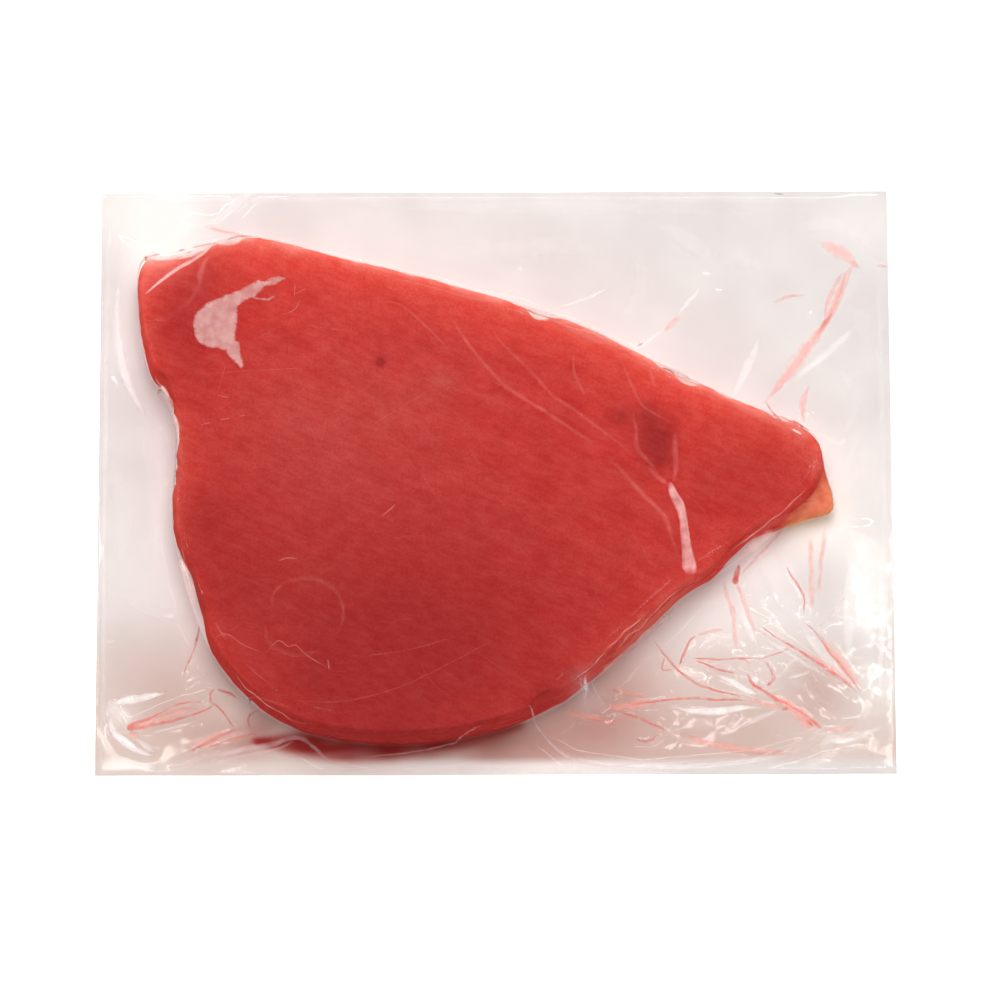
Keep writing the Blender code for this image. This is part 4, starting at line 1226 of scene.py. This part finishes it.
def colour_mix(tree, factor, first, second, blend="MIX"):
    """Mixes two colours. Each may be a colour or a socket."""
    inputs = {0: factor}
    for index, colour in ((6, first), (7, second)):
        inputs[index] = colour if isinstance(colour, bpy.types.NodeSocket) else (*colour, 1.0)
    return tree.add("ShaderNodeMix", inputs, data_type="RGBA", blend_type=blend).outputs[2]


def attribute(tree, name):
    return tree.add("ShaderNodeAttribute", attribute_name=name).outputs["Fac"]


def tinted(tree, colour, tints):
    """The colour, covered by each tint in turn as far as the attribute of its name says."""
    for name, tint in tints.items():
        colour = colour_mix(tree, attribute(tree, name), colour, tint)
    return colour


def object_noise(tree, size, detail=3.0, stretch=(1, 1, 1), turn=0.0):
    """Noise on the piece's own coordinates, with lumps about size millimetres across."""
    place = tree.add("ShaderNodeTexCoord").outputs["Object"]
    scale = tuple(s / (size * MM) for s in stretch)
    turned = tree.out("ShaderNodeMapping", {"Vector": place, "Rotation": (0, 0, turn)})
    spot = tree.out("ShaderNodeMapping", {"Vector": turned, "Scale": scale})
    node = tree.add("ShaderNodeTexNoise", {"Vector": spot, "Scale": 1.0, "Detail": detail})
    return node.outputs["Fac"]


def ramp(tree, value, low, high):
    """0 at low, 1 at high."""
    return tree.out("ShaderNodeMapRange", {"Value": value, "From Min": low, "From Max": high})


def cover(tree, clear, amount, cloud):
    """Ends the material with a cloudy surface over a clear one, by an amount."""
    surface = tree.out("ShaderNodeMixShader", {0: amount, 1: clear, 2: cloud})
    tree.add("ShaderNodeOutputMaterial", {"Surface": surface})


def flesh_material():
    """Red flesh: soft mottles, pale fibres along it, a fine weave, and skin on the lower corner."""
    material, tree = new_material("raw_tuna_flesh")
    mottle = object_noise(tree, 7, 4.0)
    fibre = object_noise(tree, 5, 3.0, (0.25, 1.6, 1.0), 0.5)
    grain = object_noise(tree, 0.6, 3.0)
    streaks = object_noise(tree, 1.6, 3.0, (0.4, 1.3, 1.0), 0.35)
    blotches = object_noise(tree, 3.2, 3.0)
    colour = colour_mix(tree, ramp(tree, mottle, 0.3, 0.7), FLESH_DEEP, FLESH_FACE)
    pale = tree.math("MULTIPLY", ramp(tree, fibre, 0.35, 0.75), 0.4)
    colour = tinted(tree, colour_mix(tree, pale, colour, FLESH_PALE), FLESH_TINTS)
    fleck = tree.math("MULTIPLY_ADD", grain, 0.55, tree.math("MULTIPLY", streaks, 0.45))
    flecks = colour_mix(tree, ramp(tree, fleck, 0.40, 0.60), FLECK_DEEP, FLECK_PALE)
    colour = colour_mix(tree, 1.0, colour, flecks, "MULTIPLY")
    patches = colour_mix(tree, ramp(tree, blotches, 0.35, 0.65), PATCH_DEEP, PATCH_PALE)
    colour = colour_mix(tree, 1.0, colour, patches, "MULTIPLY")
    skin = tree.math("ADD", attribute(tree, "skin"), tree.math("MULTIPLY", grain, 0.3))
    skin_colour = colour_mix(tree, ramp(tree, blotches, 0.35, 0.75), SKIN_UPPER, SKIN_BROWN)
    skin_colour = tinted(tree, skin_colour, {"under": SKIN_LOWER})
    colour = colour_mix(tree, ramp(tree, skin, 0.35, 0.85), colour, skin_colour)
    relief = tree.math("ADD", tree.math("MULTIPLY", grain, 0.4), fibre)
    uneven = tree.out("ShaderNodeBump", {"Height": relief, "Strength": 0.25, "Distance": 0.3 * MM})
    look = {"Base Color": colour, "Roughness": FLESH_ROUGHNESS, "Normal": uneven}
    shader = tree.out("ShaderNodeBsdfPrincipled", {**look, "Specular IOR Level": 0.0})
    tree.add("ShaderNodeOutputMaterial", {"Surface": shader})
    return material


def thin_gloss(tree, clear, normal, shine):
    """A thin sheet: it passes light, and mirrors the same share of it from either side."""
    behind = tree.add("ShaderNodeNewGeometry").outputs["Backfacing"]
    index = tree.math("MULTIPLY_ADD", behind, 1 / FILM_INDEX - FILM_INDEX, FILM_INDEX)
    share = tree.out("ShaderNodeFresnel", {"IOR": index, "Normal": normal})
    share = tree.math("MULTIPLY", share, shine)
    gloss = tree.out("ShaderNodeBsdfGlossy", {"Roughness": FILM_ROUGHNESS, "Normal": normal})
    return tree.out("ShaderNodeMixShader", {0: share, 1: clear, 2: gloss})


def crumple_cells(tree, size):
    """Sharp-edged uneven facets about size millimetres across, as crumpled film has."""
    inputs = {"Vector": tree.add("ShaderNodeTexCoord").outputs["Object"], "Scale": 1 / (size * MM)}
    return tree.add("ShaderNodeTexVoronoi", inputs, feature="DISTANCE_TO_EDGE").outputs["Distance"]


def film_material():
    """Clear film: lightly tinted, glossy where it is loose, faceted where crumpled, milky in places."""
    material, tree = new_material("clear_film")
    facets = tree.math("MULTIPLY", crumple_cells(tree, 6), attribute(tree, "crumpled"))
    relief = tree.out("ShaderNodeBump", {"Height": facets, "Strength": 0.5, "Distance": 1.2 * MM})
    clouds = ramp(tree, attribute(tree, "clouds"), 0.45, -0.45)
    tint = tinted(tree, colour_mix(tree, clouds, FILM_TINT, FILM_DARKER), FILM_TINTS)
    clear = tree.out("ShaderNodeBsdfTransparent", {"Color": tint})
    film = thin_gloss(tree, clear, relief, attribute(tree, "shine"))
    haze = tree.out("ShaderNodeBsdfDiffuse", {"Color": FILM_HAZE})
    cover(tree, film, tree.math("MULTIPLY", attribute(tree, "milky"), 0.25), haze)
    return material


def thread_material(name, colour, cloudiness, patchy=0.7, fade=0.5, tint=(1, 1, 1)):
    """A see-through thread: how cloudy its middle is, how patchily, how far from its ends it fades,
    and the tint of its clear part."""
    material, tree = new_material(name)
    clear = tree.out("ShaderNodeBsdfTransparent", {"Color": (*tint, 1)})
    mottle = ramp(tree, object_noise(tree, 2.5, 3.0), 0.3, 0.7)
    shade = colour_mix(tree, mottle, tuple(THREAD_SHADE * c for c in colour), colour)
    cloud = tree.out("ShaderNodeBsdfDiffuse", {"Color": shade})
    across = tree.math("POWER", tree.math("ABSOLUTE", attribute(tree, "across")), 2.0)
    density = tree.math("MULTIPLY_ADD", across, -cloudiness, cloudiness)
    density = tree.math("MULTIPLY", density, ramp(tree, attribute(tree, "along"), 0.0, fade))
    patches = tree.math("MULTIPLY_ADD", mottle, patchy, 1 - 0.7 * patchy)
    cover(tree, clear, tree.math("MULTIPLY", density, patches), cloud)
    return material


def air_material():
    """Frosty trapped air: fine streaks, fading out in shreds at the pocket's edge."""
    material, tree = new_material("trapped_air")
    streaks = object_noise(tree, 0.9, 4.0, (0.7, 1.2, 1.0), 0.3)
    clumps = object_noise(tree, 2.4, 3.0)
    inside = attribute(tree, "inside")
    depth = tree.math("MULTIPLY_ADD", streaks, 1.4, tree.math("SUBTRACT", inside, 0.6))
    shade = colour_mix(tree, ramp(tree, clumps, 0.35, 0.65), AIR_DEEP, AIR_PALE)
    cloud = tree.out("ShaderNodeBsdfDiffuse", {"Color": shade})
    clear = tree.out("ShaderNodeBsdfTransparent", {"Color": (1, 1, 1, 1)})
    shredded = tree.math("MULTIPLY", ramp(tree, depth, 0.1, 0.8), ramp(tree, inside, 0.0, 0.2))
    cover(tree, clear, tree.math("MULTIPLY", shredded, 0.6), cloud)
    return material


# --- stage ------------------------------------------------------------------------------------

# Lamps, aimed at the middle: (name, place, sides, power, whether the film mirrors it).
LAMPS = [
    ("window_back", (0.0, 0.36, 1.05), (0.5, 0.5), 6.6, False),
    ("window_top", (0, 0.05, 1.1), (0.4, 0.4), 4.7, False),
    ("strip_back", (0.0, 0.45, 0.85), (1.1, 0.035), 1.1, True),
    ("strip_left", (-0.5, 0.1, 0.8), (0.035, 1.0), 0.8, True),
    ("strip_right", (0.5, 0.1, 0.8), (0.035, 1.0), 0.8, True),
]
FLOOR_WHITE = (0.94, 0.94, 0.94, 1)
FLOOR_GLOW = 0.2
AROUND_GREY = (0.30, 0.30, 0.30, 1)
SEEN_GREY = (0.92, 0.92, 0.92, 1)

CAMERA_DISTANCE = 1.35
# Degrees: leaning from straight above, and turned about its own axis.
CAMERA_TILT = 11.5
CAMERA_ROLL = -0.158
CAMERA_LENS = 192.8
CAMERA_TARGET = (1.2 * MM, -4.9 * MM, 0.0)


def make_lamp(name, place, sides, power, mirrored):
    """A rectangular lamp aimed at the middle, unseen by the camera."""
    data = bpy.data.lights.new(name, "AREA")
    data.shape = "RECTANGLE"
    data.size, data.size_y = sides
    data.energy = power
    lamp = add_piece(name, data)
    lamp.visible_camera = False
    lamp.visible_glossy = mirrored
    lamp.location = place
    lamp.rotation_euler = (-Vector(place)).to_track_quat("-Z", "Y").to_euler()


def make_floor():
    """A pale floor that glows a little."""
    mesh = bpy.data.meshes.new("floor")
    shape = bmesh.new()
    bmesh.ops.create_grid(shape, x_segments=2, y_segments=2, size=3.0)
    shape.to_mesh(mesh)
    shape.free()
    floor = add_piece("floor", mesh)
    material, tree = new_material("pale_floor")
    white = tree.out("ShaderNodeBsdfDiffuse", {"Color": FLOOR_WHITE})
    lit = tree.out("ShaderNodeEmission", {"Color": (1, 1, 1, 1), "Strength": FLOOR_GLOW})
    both = tree.out("ShaderNodeAddShader", {0: white, 1: lit})
    tree.add("ShaderNodeOutputMaterial", {"Surface": both})
    mesh.materials.append(material)


def make_world():
    """The surroundings: darker to the pieces than to the camera."""
    world = bpy.data.worlds.new("studio")
    bpy.context.scene.world = world
    world.use_nodes = True
    world.node_tree.nodes.clear()
    tree = Tree(world.node_tree)
    around = tree.out("ShaderNodeBackground", {"Color": AROUND_GREY, "Strength": 1.0})
    seen = tree.out("ShaderNodeBackground", {"Color": SEEN_GREY, "Strength": 1.0})
    camera_ray = tree.add("ShaderNodeLightPath").outputs["Is Camera Ray"]
    both = tree.out("ShaderNodeMixShader", {0: camera_ray, 1: around, 2: seen})
    tree.add("ShaderNodeOutputWorld", {"Surface": both})


def make_stage():
    make_floor()
    for lamp in LAMPS:
        make_lamp(*lamp)
    make_world()
    bpy.context.scene.view_settings.view_transform = "Standard"


def make_camera():
    data = bpy.data.cameras.new("camera")
    data.lens = CAMERA_LENS
    data.sensor_width = 36.0
    data.clip_start = 0.01
    camera = add_piece("camera", data)
    turn = Matrix.Rotation(np.radians(CAMERA_TILT), 4, "X")
    roll = Matrix.Rotation(np.radians(CAMERA_ROLL), 4, "Z")
    place = Vector(CAMERA_TARGET) + turn @ Vector((0, 0, CAMERA_DISTANCE))
    camera.matrix_world = Matrix.Translation(place) @ turn @ roll
    bpy.context.scene.camera = camera


def surface_of(piece):
    """A search tree of the piece's faces, to lay other pieces on."""
    mesh = piece.data
    points = [v.co for v in mesh.vertices]
    return BVHTree.FromPolygons(points, [tuple(p.vertices) for p in mesh.polygons])


def light_passes(piece):
    """Lamps shine through the piece as if it weren't there, so only the view through it is tinted."""
    piece.visible_shadow = False
    piece.visible_diffuse = False


def finish_piece(piece, slot, *replaced):
    """Attaches the piece to its body and hides the nodes of the part that it stands in for. The slot is not
    used.
    """
    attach(piece, BODY)
    if replaced:
        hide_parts(*replaced)


def main():
    lines = inset_lines(steak_outline(OUTLINE_POINTS))
    stations = section()
    flesh = make_flesh(finer(lines, FLESH_FINENESS), stations)
    flesh.data.materials.append(flesh_material())
    film = make_film(finer(lines, FILM_FINENESS), stations)
    film.data.materials.append(film_material())
    on_flesh, on_film = surface_of(flesh), surface_of(film)
    group = thread_tree()
    threads = []
    for surface, slot, kinds in thread_kinds(on_flesh, on_film):
        for name, paths, lift, shape, *look in kinds:
            material = thread_material(*look)
            piece = make_threads(name, group, surface, paths, lift * MM, material, **shape)
            threads.append((piece, slot))
    air = make_air_pocket(on_flesh)
    air.data.materials.append(air_material())
    finish_piece(flesh, "raw_tuna", "tuna_steak")
    finish_piece(film, "clear_film", "film_upper", "film_lower")
    for piece, slot in (*threads, (air, "raw_tuna")):
        finish_piece(piece, slot)
        light_passes(piece)
    light_passes(film)
    make_stage()
    make_camera()


main()
